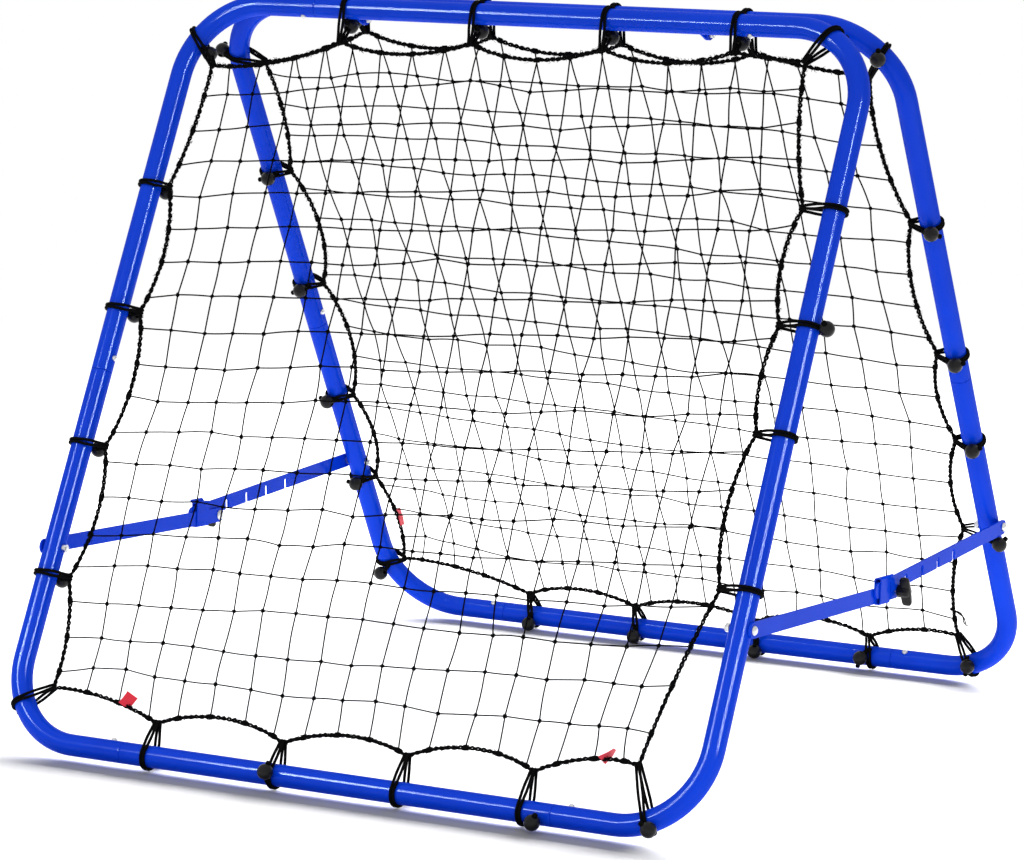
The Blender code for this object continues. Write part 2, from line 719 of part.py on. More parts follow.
def wing_knob(name, sx):
    """Plastic wing knob: ribbed hub with a blind bore and two wings."""
    a, b, m = pivots(sx)
    base = m + Vector((sx * (STAY_OUT + GAP), 0, 0))
    r = HUB_D / 2
    obj = turned(name, [(0, r), (HUB_LEN * 0.85, r), (HUB_LEN, r * 0.72)], base, (sx, 0, 0),
                 (0, 0, 1), 12, "black_plastic")
    wing = plate("wing", (WING_T, WING_H, WING_SPAN), WING_H * 0.42, 3, "black_plastic")
    lay = Matrix.Rotation(WING_TURN, 4, "X") @ Matrix.Rotation(math.pi / 2, 4, "Z")
    move(wing, Matrix.Translation(base + Vector((sx * (HUB_LEN - WING_H * 0.45), 0, 0))) @ lay)
    combine(obj, wing, "UNION")
    drill(obj, base - Vector((sx * 0.01, 0, 0)), (sx, 0, 0), (0, 0, 1),
          LOCK_BOLT_D / 2 + GAP, 0.01 + HUB_LEN * 0.8 + 2 * GAP)
    return obj


# assembly

def build_tubes(which):
    pieces = {"top_bar": straight_bar("top_bar", 0.0),
              "bottom_bar": straight_bar("bottom_bar", LEG)}
    for end, sx in (("m", -1.0), ("p", 1.0)):
        pieces["top_corner_" + end] = corner_tube("top", sx, True)
        pieces["bottom_corner_" + end] = corner_tube("low", sx, False)
    buttons = {}
    for key, place, out, female, male in button_places():
        for piece in (female, male):
            drill(pieces[piece], place + out * 0.004, out, (0, 0, 1),
                  BUTTON_D / 2 + BUTTON_CLEAR, 0.03)
        buttons[key] = (snap_button("button", place, out), place, out)
    for end, sx in (("m", -1.0), ("p", 1.0)):
        drill(pieces["bottom_corner_" + end], (sx * (HALF_WIDTH - 0.03), STAY_DOWN, 0),
              (sx, 0, 0), (0, 0, 1), PIVOT_BOLT_D / 2 + GAP, 0.06)
    return pieces, buttons


def pivot_empty(name, point):
    empty = bpy.data.objects.new(name, None)
    empty.empty_display_size = 0.03
    empty.location = point
    collection("Rebounder").objects.link(empty)
    return empty


def hang(obj, empty):
    """Put the object's origin on the empty and make it the empty's child."""
    obj.data.transform(Matrix.Translation(-Vector(empty.location)))
    obj.parent = empty


def set_origin(obj, point):
    obj.data.transform(Matrix.Translation(-Vector(point)))
    obj.location = point


def side_name(which, end):
    """World side of a flat frame's minus or plus end."""
    sx = -1.0 if end == "m" else 1.0
    return "left" if local_x(which, sx) < 0 else "right"


def world_name(which, key):
    base, end = key.rsplit("_", 1)
    return "%s_%s_%s" % (which, base, side_name(which, end))


def build_frame(which, carrier):
    stand = frame_matrix(which)
    pieces, buttons = build_tubes(which)
    fixed = []
    for key, obj in pieces.items():
        obj.name = which + "_" + key if key.endswith("bar") else world_name(which, key)
        move(obj, stand)
        fixed.append(obj)
    for sx in (-1.0, 1.0):
        start = sx * HINGE_X + (GAP / 2 if which == "rear" else -LUG_T - GAP / 2)
        bar = pieces["top_bar"]
        combine(bar, lug("lug", start, which), "UNION")
    for side in ("top", "bottom", "left", "right"):
        rope = rope_side(which, side)
        move(rope, stand)
        if side == "bottom":
            cut_at_floor(rope)
        fixed.append(rope)
    mesh = net(which)
    move(mesh, stand)
    fixed.append(mesh)
    for i, (frame, side, along, turn) in enumerate(TAGS):
        if frame == which:
            piece = tag(i + 1, which, side, along, turn)
            move(piece, stand)
            fixed.append(piece)
    for key, (obj, place, out) in buttons.items():
        obj.name = "button_" + world_name(which, key)
        move(obj, stand)
        origin = stand @ (place + out * TUBE_R)
        set_origin(obj, origin)
        if carrier:
            obj.location = origin - Vector(carrier.location)
            obj.parent = carrier
    if carrier:
        for obj in fixed:
            hang(obj, carrier)
    for obj in fixed:
        obj.data.name = obj.name


def build_hinge_bolts():
    for side, sx in (("left", -1.0), ("right", 1.0)):
        base = Vector((sx * HINGE_X - (LUG_T + 1.5 * GAP), 0, HINGE_Z))
        bolt("hinge_bolt_" + side, base, (1, 0, 0), HINGE_BOLT_D, 0.0115, 0.0036,
             2 * LUG_T + 3 * GAP, 0.0100, 0.0045)


def build_stays(side, sx, carrier):
    a, b, m = pivots(sx)
    through = 2 * TUBE_R + 2 * GAP
    front = pivot_empty("front_stay_axis_" + side, a + Vector((sx * STAY_IN, 0, 0)))
    hang(front_stay("front_stay_" + side, sx), front)
    hang(clip("clip_" + side, sx), front)
    hang(lock_bolt("lock_bolt_" + side, sx), front)
    knob = wing_knob("wing_knob_" + side, sx)
    centre = m + Vector((sx * STAY_OUT, 0, 0))
    set_origin(knob, centre)
    knob.parent = front
    knob.location = centre - Vector(front.location)
    bolt("front_stay_bolt_" + side, a + Vector((sx * (STAY_IN + STAY_T + GAP), 0, 0)),
         (-sx, 0, 0), PIVOT_BOLT_D, 0.0140, 0.0042, STAY_T + GAP + through,
         0.0100, 0.0050)
    rear = pivot_empty("rear_stay_axis_" + side, b + Vector((sx * STAY_MID, 0, 0)))
    hang(rear_stay("rear_stay_" + side, sx), rear)
    rear.location = rear.location - carrier.location
    rear.parent = carrier
    rear_bolt = bolt("rear_stay_bolt_" + side, b + Vector((sx * (STAY_OUT + GAP), 0, 0)),
                     (-sx, 0, 0), PIVOT_BOLT_D, 0.0140, 0.0042,
                     STAY_OUT + GAP - STAY_IN + through, 0.0100, 0.0050,
                     (STAY_T + 2 * GAP, STAY_T + 2 * GAP + STAY_T - GAP, 0.0062))
    hang(rear_bolt, carrier)


def centre_on_floor():
    """Put the middle of the whole object over the origin."""
    bpy.context.view_layer.update()
    low, high = Vector((9, 9, 9)), Vector((-9, -9, -9))
    for obj in bpy.data.objects:
        if obj.type != "MESH":
            continue
        for v in obj.data.vertices:
            p = obj.matrix_world @ v.co
            low = Vector(map(min, low, p))
            high = Vector(map(max, high, p))
    shift = Vector((-(low.x + high.x) / 2, -(low.y + high.y) / 2, 0))
    for obj in bpy.data.objects:
        if obj.parent is None:
            obj.location = obj.location + shift
    bpy.context.view_layer.update()
    print("low", [round(c, 5) for c in low + shift], "high",
          [round(c, 5) for c in high + shift], "shift", [round(c, 6) for c in shift])


def main():
    clear_scene()
    carrier = pivot_empty("fold_axis", Vector((0, 0, HINGE_Z)))
    build_frame("front", None)
    build_frame("rear", carrier)
    build_hinge_bolts()
    for side, sx in (("left", -1.0), ("right", 1.0)):
        build_stays(side, sx, carrier)
    centre_on_floor()


main()
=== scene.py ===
"""Folding two-net ball rebounder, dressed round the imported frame.

Pieces are placed in the frame's own coordinates. Each net frame is built flat
first (x across, y down the leg, z out of the net's outer face) and stood up by
the same matrix as the CAD part.
"""
import json
import math
import random

import bmesh
import bpy
import numpy as np
from mathutils import Matrix, Vector

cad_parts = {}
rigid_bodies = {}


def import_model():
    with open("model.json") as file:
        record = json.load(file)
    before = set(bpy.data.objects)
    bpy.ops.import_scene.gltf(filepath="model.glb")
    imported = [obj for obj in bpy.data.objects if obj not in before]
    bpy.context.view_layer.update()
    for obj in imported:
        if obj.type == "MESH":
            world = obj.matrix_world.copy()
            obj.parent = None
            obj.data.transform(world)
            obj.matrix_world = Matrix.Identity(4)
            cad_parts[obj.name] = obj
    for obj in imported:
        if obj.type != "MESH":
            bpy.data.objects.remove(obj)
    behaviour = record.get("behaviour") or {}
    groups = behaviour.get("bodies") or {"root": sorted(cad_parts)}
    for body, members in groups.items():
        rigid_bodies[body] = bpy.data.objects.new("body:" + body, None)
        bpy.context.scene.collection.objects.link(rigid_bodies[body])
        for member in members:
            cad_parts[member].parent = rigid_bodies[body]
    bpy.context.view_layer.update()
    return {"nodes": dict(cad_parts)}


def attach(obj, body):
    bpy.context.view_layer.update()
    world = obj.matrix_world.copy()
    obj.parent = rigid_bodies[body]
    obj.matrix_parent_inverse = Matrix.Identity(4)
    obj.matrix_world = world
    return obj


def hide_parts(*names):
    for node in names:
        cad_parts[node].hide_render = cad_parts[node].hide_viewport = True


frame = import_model()
TURN = 2 * math.pi

# sizes shared with the part, in metres
TUBE_R = 0.0143
WALL = 0.0015
HALF_WIDTH = 0.505
LEG = 1.048
BEND_R = 0.108
BAR_HALF = 0.315
LEG_SEAM = 0.540
TILT = math.radians(27.24)
BAR_SPREAD = 0.0552
SHIFT_Y = 0.007325
TOP_Z = 0.951174
HINGE_Z = 0.936174
GAP = 0.0003
SWAGE = 0.045
BORE_R = TUBE_R - WALL
SWAGE_R = BORE_R - GAP
SWAGE_BORE = SWAGE_R - 0.0014
BUTTON_R = 0.0040
BUTTON_RISE = 0.0034
BUTTON_BACK = 0.020
HINGE_X = 0.2585
LUG_T = 0.0030
STAY_IN, STAY_OUT = 0.5196, 0.5259
STAY_T, STAY_W = 0.0030, 0.020
PIVOT_Y, PIVOT_Z = 0.388511, 0.250121
LOCK_Y, LOCK_Z = 0.0350, 0.224121
LOCK_BOLT_R = 0.0028
CLIP_BACK = 0.045
CLIP_LEN = 0.030
CLIP_T = 0.0016
CLIP_PLAY = 0.0026
ROPE_R = 0.0026
BALL_R = 0.0103

# sizes of the scene's own detail, in metres
EDGE = 0.0006
SETTLE = 0.0025
TUBE_SIDES = 40
LUG_ROOT_R, LUG_TIP_R = 0.0095, 0.0085
LUG_EDGE = 0.0004
WELD_R = 0.0012
PIN_SEAT, PIN_FLANGE_R = 0.0093, 0.0051
HOLE_FROM, HOLE_TO = 0.004, 0.034
SCREW_D = 0.006
NUT_AF = 0.0100
HINGE_HEAD, HINGE_NUT_H = (0.0115, 0.0036), 0.0045
STAY_HEAD, STAY_NUT_H = (0.0122, 0.0040), 0.0050
LOCK_HEAD = (0.014224, 0.0040)
COLLAR_R = 0.0062
PLATE_EDGE = 0.00045
SCREW_PITCH = 0.0010
LIP_H, CLIP_EDGE = 0.0055, 0.0003
HUB_LEN, HUB_R = 0.0168, 0.0085
RIB_H = 0.0003
WING_SPAN, WING_H, WING_T = 0.042, 0.0146, 0.0084
WING_TURN = math.radians(18)
ROPE_STEPS = 2000
ROPE_PITCH = 0.0165
LAY_R, STRAND_R, THREAD_R = 0.00158, 0.00152, 0.00065
FIBRES = 1900
FIBRE_R = (0.00040, 0.00032, 0.00012)
HITCH_R, HITCH_COILS, HITCH_STEPS = 0.00105, 4, 44
BOW_FULLNESS = 0.72
MESHES = 19
NET_R, KNOT_R = 0.00100, 0.0025
KNOT_STEPS = 16
NET_PULL = 0.13
NET_HANG = 0.006
CORD_R, PINCHED_R = 0.0020, 0.00155
STRAND_STEP = 0.00235
STAY_LEG = (TOP_Z - PIVOT_Z) / math.cos(TILT)
STAY_NEAR = 0.016
BALL_HOLE, BALL_LIP = 0.0031, 0.0006
MOULD_LINE = 0.00012
TAG_W, TAG_T = 0.0165, 0.0008

SIDES = {"left": -1.0, "right": 1.0}
# the flat frame's x in the world, once it is stood up
FACING = {"front": -1.0, "rear": 1.0}
INWARD = {"top": (0, 1), "bottom": (0, -1), "left": (1, 0), "right": (-1, 0)}
ENDS = {"top": ("top_left", "top_right"), "bottom": ("bottom_left", "bottom_right"),
        "left": ("top_left", "bottom_left"), "right": ("top_right", "bottom_right")}

# loops: shares of the half width and of the leg, the ball's turn round the tube in degrees, and
# where there is a fourth number how far the ball sits aside of its loop, in millimetres
TIES = {
    "front": {
        "top": [(-.529, .045, 320), (-.133, .039, 315), (.2535, .038, 315), (.6257, .035, 315)],
        "bottom": [(-.549, .959, 258), (-.171, .961, 96), (.1868, .9557, 285), (.54, .9525, 130, -24)],
        "left": [(-.945, .259, 292), (-.9321, .4302, 302), (-.929, .6134, 302), (-.932, .7885, 292)],
        "right": [(.916, .232, 300), (.924, .3805, 180), (.9275, .517, 300), (.924, .7075, 300)],
        "corners": {"top_left": (-.9103, .086, 330), "top_right": (.833, .043, 262),
                    "bottom_left": (-.8902, .9315, 245), "bottom_right": (.815, .928, 132, -5)},
    },
    "rear": {
        "top": [(-.5624, .0363, 300), (-.1743, .0363, 300), (.2139, .0382, 300), (.5941, .0429, 300)],
        "bottom": [(-.5276, .9625, 262), (-.179, .963, 240), (.2099, .964, 250), (.56, .9665, 299, -9)],
        "left": [(-.942, .264, 285), (-.942, .446, 282), (-.952, .634, 258), (-.956, .7755, 277)],
        "right": [(.948, .2824, 247), (.949, .481, 252), (.954, .6155, 250), (.925, .76, 222, -10)],
        "corners": {"top_left": (-.922, .092, 190), "top_right": (.913, .069, 247),
                    "bottom_left": (-.94, .9225, 262, 12), "bottom_right": (.842, .9465, 298, 6)},
    },
}
# where the left and the right corner loop cross the bend, in degrees up from the side
CROSSINGS = {"front": {"corner_top": (30, 62), "corner_bottom": (34, 66)},
             "rear": {"corner_top": (12, 38), "corner_bottom": (15, 68)}}
# depth of each rope bow in millimetres, from the left or from the top
BOWS = {
    "front": {"top": (15, 18.4, 21, 19, 3), "bottom": (10.5, 21, 19, 20.8, 13),
              "left": (7, 17.7, 18.5, 18, 11), "right": (8.5, 14.7, 11, 17, 5)},
    "rear": {"top": (10, 24, 23, 23, 6), "bottom": (14, 22, 22, 23, 13),
             "left": (12, 24, 24, 20, 16), "right": (16, 19, 15, 15, 13)},
}
# where the net lines meet the rope, in thousandths of the way between the corners
MARKS = {
    "front": {
        "top": (33, 87, 143, 194, 244, 294, 349, 403, 461, 506, 565, 618, 669, 724, 781, 834, 887, 940),
        "bottom": (62, 124, 183, 233, 288, 350, 403, 455, 509, 563, 615, 664, 722, 776, 825, 872, 929,
                   975),
        "left": (54, 112, 169, 219, 273, 327, 385, 434, 491, 542, 601, 648, 703, 764, 814, 867, 922, 975),
        "right": (41, 90, 144, 193, 238, 297, 347, 400, 454, 510, 561, 615, 669, 723, 776, 833, 888, 955),
    },
    "rear": {
        "top": (60, 117, 164, 212, 267, 323, 374, 421, 474, 530, 583, 632, 686, 740, 794, 841, 890, 951),
        "bottom": (38, 99, 152, 208, 262, 308, 363, 416, 459, 509, 561, 612, 667, 721, 776, 833, 879, 943),
        "left": (22, 79, 138, 190, 240, 297, 352, 410, 456, 511, 572, 630, 675, 732, 791, 842, 891, 952),
        "right": (60, 115, 173, 229, 278, 333, 389, 443, 495, 548, 604, 652, 705, 759, 806, 857, 913, 967),
    },
}
# the cut end of the rear rope by its lower right loop, in the net's plane and out of it
LOOSE_END = [(0.4205, 0.9440, 0.0000), (0.4250, 0.9500, 0.0040), (0.4310, 0.9555, 0.0060),
             (0.4350, 0.9620, 0.0060), (0.4360, 0.9700, 0.0040), (0.4395, 0.9760, 0.0030)]
# frame, side, share of the rope line, then how the photo shows the tag: its upward and its
# widthwise direction as (right, up, away from the camera), its twist and its height
TAGS = [("front", "bottom", 0.137, (0.60, 0.78, 0.0), (0.89, -0.36, 0.25), 0.0, 0.0190),
        ("front", "bottom", 0.927, (0.76, 0.65, 0.0), (0.80, -0.60, 0.70), -38.0, 0.0215),
        ("rear", "left", 0.915, (-0.27, 1.0, 0.0), (0.28, 0.0, 0.9), 10.0, 0.0265)]

# camera of the photo, and the light
CAM_AT = (2.6507, -4.8311, 1.3151)
CAM_AZ, CAM_EL, CAM_ROLL = 28.971, 9.466, 0.321
CAM_F_PX = 4167.6
PHOTO_W = 1024.0
SENSOR = 36.0
AMBIENT = 0.22
FLOOR_LIFT = 0.05
FLOOR_NEAR, FLOOR_FAR = 1.7, 4.0
FLOOR_SIZE, FLOOR_CELLS = 60.0, 8
BAND_WIDE, BAND_HIGH = 28.0, 5.2
BAND_AWAY, BAND_Z = 9.0, 5.9
BAND_RADIANCE = 15.0
CARD_RADIANCE = 100.0
CARD_COLOUR = (0.66, 0.86, 1.0)
CARD_THICK, CARD_AWAY = 0.40, 3.2


# materials

class Nodes:
    """Short way to write the node tree of a material, or of the world."""

    def __init__(self, name, world=False):
        self.block = (bpy.data.worlds if world else bpy.data.materials).new(name)
        self.block.use_nodes = True
        self.tree = self.block.node_tree
        self.shader = self.tree.nodes["Background" if world else "Principled BSDF"]
        if not world:
            self.coord = self.put("TexCoord", out="Object")

    def fill(self, node, inputs):
        for key, value in inputs.items():
            if isinstance(value, bpy.types.NodeSocket):
                self.tree.links.new(value, node.inputs[key])
            else:
                node.inputs[key].default_value = value

    def put(self, kind, inputs=None, out=0, **attrs):
        node = self.tree.nodes.new("ShaderNode" + kind)
        for key, value in attrs.items():
            setattr(node, key, value)
        self.fill(node, inputs or {})
        return node.outputs[out]

    def set(self, **values):
        self.fill(self.shader, {key.replace("_", " "): value for key, value in values.items()})
        return self.block

    def noise(self, scale, detail=2.0, rough=0.5):
        return self.put("TexNoise", {"Vector": self.coord, "Scale": scale, "Detail": detail,
                                     "Roughness": rough}, "Fac")

    def ramp(self, fac, *stops):
        out = self.put("ValToRGB", {"Fac": fac}, "Color")
        for element, (place, colour) in zip(out.node.color_ramp.elements, stops):
            element.position = place
            element.color = (*colour, 1.0)
        return out

    def span(self, value, low, high):
        return self.put("MapRange", {"Value": value, "To Min": low, "To Max": high})

    def bump(self, height, strength, distance):
        return self.put("Bump", {"Height": height, "Strength": strength, "Distance": distance})

    def calc(self, operation, a, b, clamp=False):
        return self.put("Math", {0: a, 1: b}, operation=operation, use_clamp=clamp)

    def seen(self):
        """1 where a camera, glossy or transmission ray looks, else 0."""
        path = self.put("LightPath").node.outputs
        two = self.calc("ADD", path["Is Camera Ray"], path["Is Glossy Ray"])
        return self.calc("ADD", two, path["Is Transmission Ray"], True)


def uneven(name, tint, rough, grain, **values):
    """Material whose colour, roughness and fine bumps each follow a noise (scale, detail)."""
    n = Nodes(name)
    return n.set(Base_Color=n.ramp(n.noise(*tint[:2]), *tint[2:]),
                 Roughness=n.span(n.noise(*rough[:2]), *rough[2:]),
                 Normal=n.bump(n.noise(*grain[:2]), *grain[2:]), **values)


def black_cord(name, scale, lift, fibre):
    """Black textile cord: crossing yarns seen as a fine diamond pattern."""
    n = Nodes(name)
    cells = n.put("TexVoronoi", {"Vector": n.coord, "Scale": scale}, "Distance")
    fuzz = n.noise(scale * 3.0, 3.0, 0.7)
    yarn = n.calc("MULTIPLY", cells, fuzz)
    return n.set(Base_Color=n.ramp(yarn, (0.05, (0.0015, 0.0015, 0.0015)), (0.55, lift)),
                 Roughness=n.span(fuzz, 0.65, 0.95), Normal=n.bump(yarn, 0.6, fibre),
                 Specular_IOR_Level=0.02)


def red_tape():
    n = Nodes("red_woven_tape")
    warp, weft = (n.put("TexWave", {"Vector": n.coord, "Scale": 420.0, "Distortion": 0.4}, "Fac",
                        bands_direction=axis) for axis in "XZ")
    weave = n.calc("MULTIPLY", warp, weft)
    return n.set(Base_Color=n.ramp(weave, (0.0, (0.72, 0.014, 0.034)), (0.8, (0.98, 0.034, 0.070))),
                 Roughness=n.span(n.noise(300.0), 0.6, 0.85), Normal=n.bump(weave, 0.5, 0.0003),
                 Sheen_Weight=0.2)


def white_floor():
    """White floor that keeps shadows; far from the object it is seen as plain white."""
    n = Nodes("studio_floor")
    pale = n.ramp(n.noise(0.8), (0.0, (0.93, 0.93, 0.93)), (1.0, (0.95, 0.95, 0.95)))
    away = n.put("VectorMath", {0: n.coord}, "Value", operation="LENGTH")
    near = n.put("MapRange", {"Value": away, "From Min": FLOOR_NEAR, "From Max": FLOOR_FAR,
                              "To Min": 1.0, "To Max": 0.0}, interpolation_type="SMOOTHSTEP")
    lift = n.calc("MULTIPLY", n.seen(), n.span(near, 1.0, FLOOR_LIFT))
    return n.set(Base_Color=n.put("VectorMath", {0: pale, "Scale": near}, operation="SCALE"),
                 Roughness=0.9, Specular_IOR_Level=0.0, Emission_Color=(1, 1, 1, 1),
                 Emission_Strength=lift)


BLUE = uneven("blue_powder_coat",
              (9.0, 3.0, (0.30, (0.0016, 0.040, 0.58)), (0.70, (0.0024, 0.050, 0.66))),
              (60.0, 3.0, 0.34, 0.42), (620.0, 1.0, 0.01, 0.00004),
              Coat_Weight=0.16, Coat_Roughness=0.13, IOR=1.5, Specular_IOR_Level=0.0)
ZINC = uneven("bright_zinc",
              (260.0, 3.0, (0.30, (0.50, 0.51, 0.53)), (0.72, (0.74, 0.75, 0.76))),
              (900.0, 2.0, 0.20, 0.38), (1500.0, 2.0, 0.15, 0.0002), Metallic=1.0)
PLASTIC = uneven("black_moulded_plastic",
                 (120.0, 2.0, (0.3, (0.0040, 0.0040, 0.0045)), (0.7, (0.0080, 0.0075, 0.0080))),
                 (500.0, 2.0, 0.26, 0.40), (1400.0, 2.0, 0.25, 0.0002), Specular_IOR_Level=0.18)
ROPE = black_cord("black_braided_rope", 900.0, (0.0065, 0.0060, 0.0060), 0.0006)
ELASTIC = black_cord("black_elastic_sleeve", 1500.0, (0.0060, 0.0058, 0.0058), 0.0003)
TWINE = black_cord("black_net_twine", 2600.0, (0.0045, 0.0045, 0.0045), 0.0003)
RED = red_tape()


# mesh building

class Shape:
    """Collects points and faces of several closed shells."""

    def __init__(self):
        self.points = []
        self.faces = []
        self.count = 0

    def add(self, points, faces):
        self.points.append(np.asarray(points, dtype=float))
        self.faces += [[i + self.count for i in face] for face in faces]
        self.count += len(points)
        return self

    def object(self, name, mat, matrix=None, sharp=40.0):
        points = np.concatenate(self.points)
        if matrix is not None:
            m = np.array(matrix)
            points = points @ m[:3, :3].T + m[:3, 3]
        mesh = bpy.data.meshes.new(name)
        mesh.from_pydata(points.tolist(), [], self.faces)
        obj = place(name, mesh)
        tidy(obj, sharp)
        mesh.materials.append(mat)
        return obj


def angles(sides):
    """The same steps all round, as a column."""
    return np.arange(sides)[:, None] * TURN / sides


def axes_at(x, y, z, at):
    """Matrix from three axes and a place."""
    mat = Matrix((x, y, z)).transposed().to_4x4()
    mat.translation = at
    return mat


def place(name, data):
    obj = bpy.data.objects.new(name, data)
    bpy.context.scene.collection.objects.link(obj)
    return obj


def finish(obj, body, slot_name, *nodes):
    if nodes:
        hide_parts(*nodes)
    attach(obj, body)
    return obj


def tidy(obj, sharp):
    """Outward normals, smooth shading and sharp edges by angle."""
    bm = bmesh.new()
    bm.from_mesh(obj.data)
    bmesh.ops.recalc_face_normals(bm, faces=bm.faces[:])
    limit = math.radians(sharp)
    for f in bm.faces:
        f.smooth = True
    for e in bm.edges:
        e.smooth = len(e.link_faces) == 2 and e.calc_face_angle(0.0) < limit
    bm.to_mesh(obj.data)
    bm.free()


def join(obj, other):
    """Both in the first, which keeps its one material."""
    bm = bmesh.new()
    bm.from_mesh(obj.data)
    bm.from_mesh(other.data)
    bm.to_mesh(obj.data)
    bm.free()
    bpy.data.objects.remove(other, do_unlink=True)


def boolean(obj, tool, operation="DIFFERENCE"):
    mod = obj.modifiers.new("cut", "BOOLEAN")
    mod.operation = operation
    mod.solver = "EXACT"
    mod.object = tool
    graph = bpy.context.evaluated_depsgraph_get()
    graph.update()
    old = obj.data
    mesh = bpy.data.meshes.new_from_object(obj.evaluated_get(graph))
    obj.modifiers.clear()
    obj.data = mesh
    bpy.data.meshes.remove(old)
    bpy.data.objects.remove(tool, do_unlink=True)


def ring_faces(rings, sides, closed=False, caps=True):
    faces = []
    for i in range(rings if closed else rings - 1):
        a, b = i * sides, (i + 1) % rings * sides
        for j in range(sides):
            k = (j + 1) % sides
            faces.append((a + j, a + k, b + k, b + j))
    if caps and not closed:
        faces.append(tuple(range(sides))[::-1])
        faces.append(tuple(range((rings - 1) * sides, rings * sides)))
    return faces


def grid_faces(across, along, first=0):
    """Squares between rows of across + 1 points."""
    row = across + 1
    corners = [first + j * row + i for j in range(along) for i in range(across)]
    return [(a, a + 1, a + row + 1, a + row) for a in corners]


def arc(mid, radius, start, end, steps):
    """Points on a circle between two angles, both ends included."""
    return [(mid[0] + radius * math.cos(t), mid[1] + radius * math.sin(t))
            for t in np.linspace(start, end, steps + 1)]


def unit(rows):
    return rows / (np.linalg.norm(rows, axis=-1, keepdims=True) + 1e-12)


def transport(p, closed):
    """Two steady cross directions along a path."""
    n = len(p)
    ahead = np.roll(p, -1, 0) - p
    back = p - np.roll(p, 1, 0)
    if not closed:
        ahead[-1] = back[-1]
        back[0] = ahead[0]
    tan = unit(unit(ahead) + unit(back))
    first = np.eye(3)[2 if abs(tan[0][2]) < 0.9 else 0]
    u = np.zeros_like(p)
    cur = first - tan[0] * first.dot(tan[0])
    for i in range(n):
        cur = unit(cur - tan[i] * cur.dot(tan[i]))
        u[i] = cur
    v = np.cross(tan, u)
    if closed:
        end = u[-1] - tan[0] * u[-1].dot(tan[0])
        twist = math.atan2(end.dot(v[0]), end.dot(u[0]))
        t = (-twist * np.arange(n) / n)[:, None]
        u, v = u * np.cos(t) + v * np.sin(t), v * np.cos(t) - u * np.sin(t)
    return u, v


def around(u, v, angle, radius):
    """Offsets from a path at an angle round it, one for each of its points."""
    return (u * np.cos(angle)[:, None] + v * np.sin(angle)[:, None]) * np.reshape(radius, (-1, 1))


def tube(shape, points, radius, sides=6, closed=False):
    """Round cord through the points; radius may change along it."""
    p = np.asarray([tuple(q) for q in points], dtype=float)
    u, v = transport(p, closed)
    r = np.broadcast_to(np.asarray(radius, dtype=float), (len(p),))
    a = angles(sides)
    ring = p[:, None] + r[:, None, None] * (u[:, None] * np.cos(a) + v[:, None] * np.sin(a))
    return shape.add(ring.reshape(-1, 3), ring_faces(len(p), sides, closed))


def sweep(shape, stations, sides, closed=False):
    """Rings given as (centre, across, up, radius or one radius per side), joined in order."""
    a = angles(sides)
    rows = [np.array(c) + np.reshape(r, (-1, 1)) * (np.cos(a) * np.array(x) + np.sin(a) * np.array(y))
            for c, x, y, r in stations]
    return shape.add(np.concatenate(rows), ring_faces(len(stations), sides, closed))


def turned(shape, profile, base, axis, sides=32):
    """Round piece from (distance, radius) pairs along the axis."""
    x = axis.orthogonal().normalized()
    y = axis.cross(x)
    return sweep(shape, [(base + axis * d, x, y, r) for d, r in profile], sides)


# frame tubes, snap buttons and hinge lugs

# distance from a tube's end and how far the wall is rounded in there
ROUNDED_END = [(SETTLE, 0.0), (EDGE, 0.0), (EDGE * 0.35, EDGE * 0.3), (0.0, EDGE)]


def stand(which):
    sa, ca = math.sin(TILT), math.cos(TILT)
    mat = Matrix(((1, 0, 0), (0, sa, ca), (0, -ca, sa))).to_4x4()
    mat.translation = Vector((0.0, BAR_SPREAD / 2, TOP_Z))
    if which == "front":
        mat = Matrix.Rotation(math.pi, 4, "Z") @ mat
    return Matrix.Translation((0, SHIFT_Y, 0)) @ mat


def side_of(which, sx):
    """World side of what lies at the flat frame's side sx."""
    return "left" if FACING[which] * sx < 0 else "right"


def straight_bar(y):
    end = BAR_HALF + SWAGE
    half = [(0.1, TUBE_R)]
    half += [(BAR_HALF - d, TUBE_R - fall) for d, fall in ROUNDED_END]
    half += [(BAR_HALF, SWAGE_R), (end - EDGE, SWAGE_R), (end, SWAGE_R - EDGE), (end, SWAGE_BORE)]
    rings = [(-x, r) for x, r in reversed(half)] + half
    stations = [((x, y, 0), (0, 1, 0), (0, 0, 1), r) for x, r in rings]
    return sweep(Shape(), stations, TUBE_SIDES, True).object("tube", BLUE)


def corner_path(sx, top, steps=20):
    """Centre line of a corner tube from its bar to the leg's seam, with the way out of the bend."""
    y0, down = (0.0, 1.0) if top else (LEG, -1.0)
    centre = Vector((sx * (HALF_WIDTH - BEND_R), y0 + down * BEND_R, 0))
    path = [(Vector((sx * (BAR_HALF + GAP), y0, 0)), Vector((0, -down, 0)))]
    for i in range(steps + 1):
        t = math.pi / 2 * i / steps
        out = Vector((sx * math.sin(t), -down * math.cos(t), 0))
        path.append((centre + out * BEND_R, out))
    path.append((Vector((sx * HALF_WIDTH, LEG_SEAM - down * GAP / 2, 0)), Vector((sx, 0, 0))))
    return path


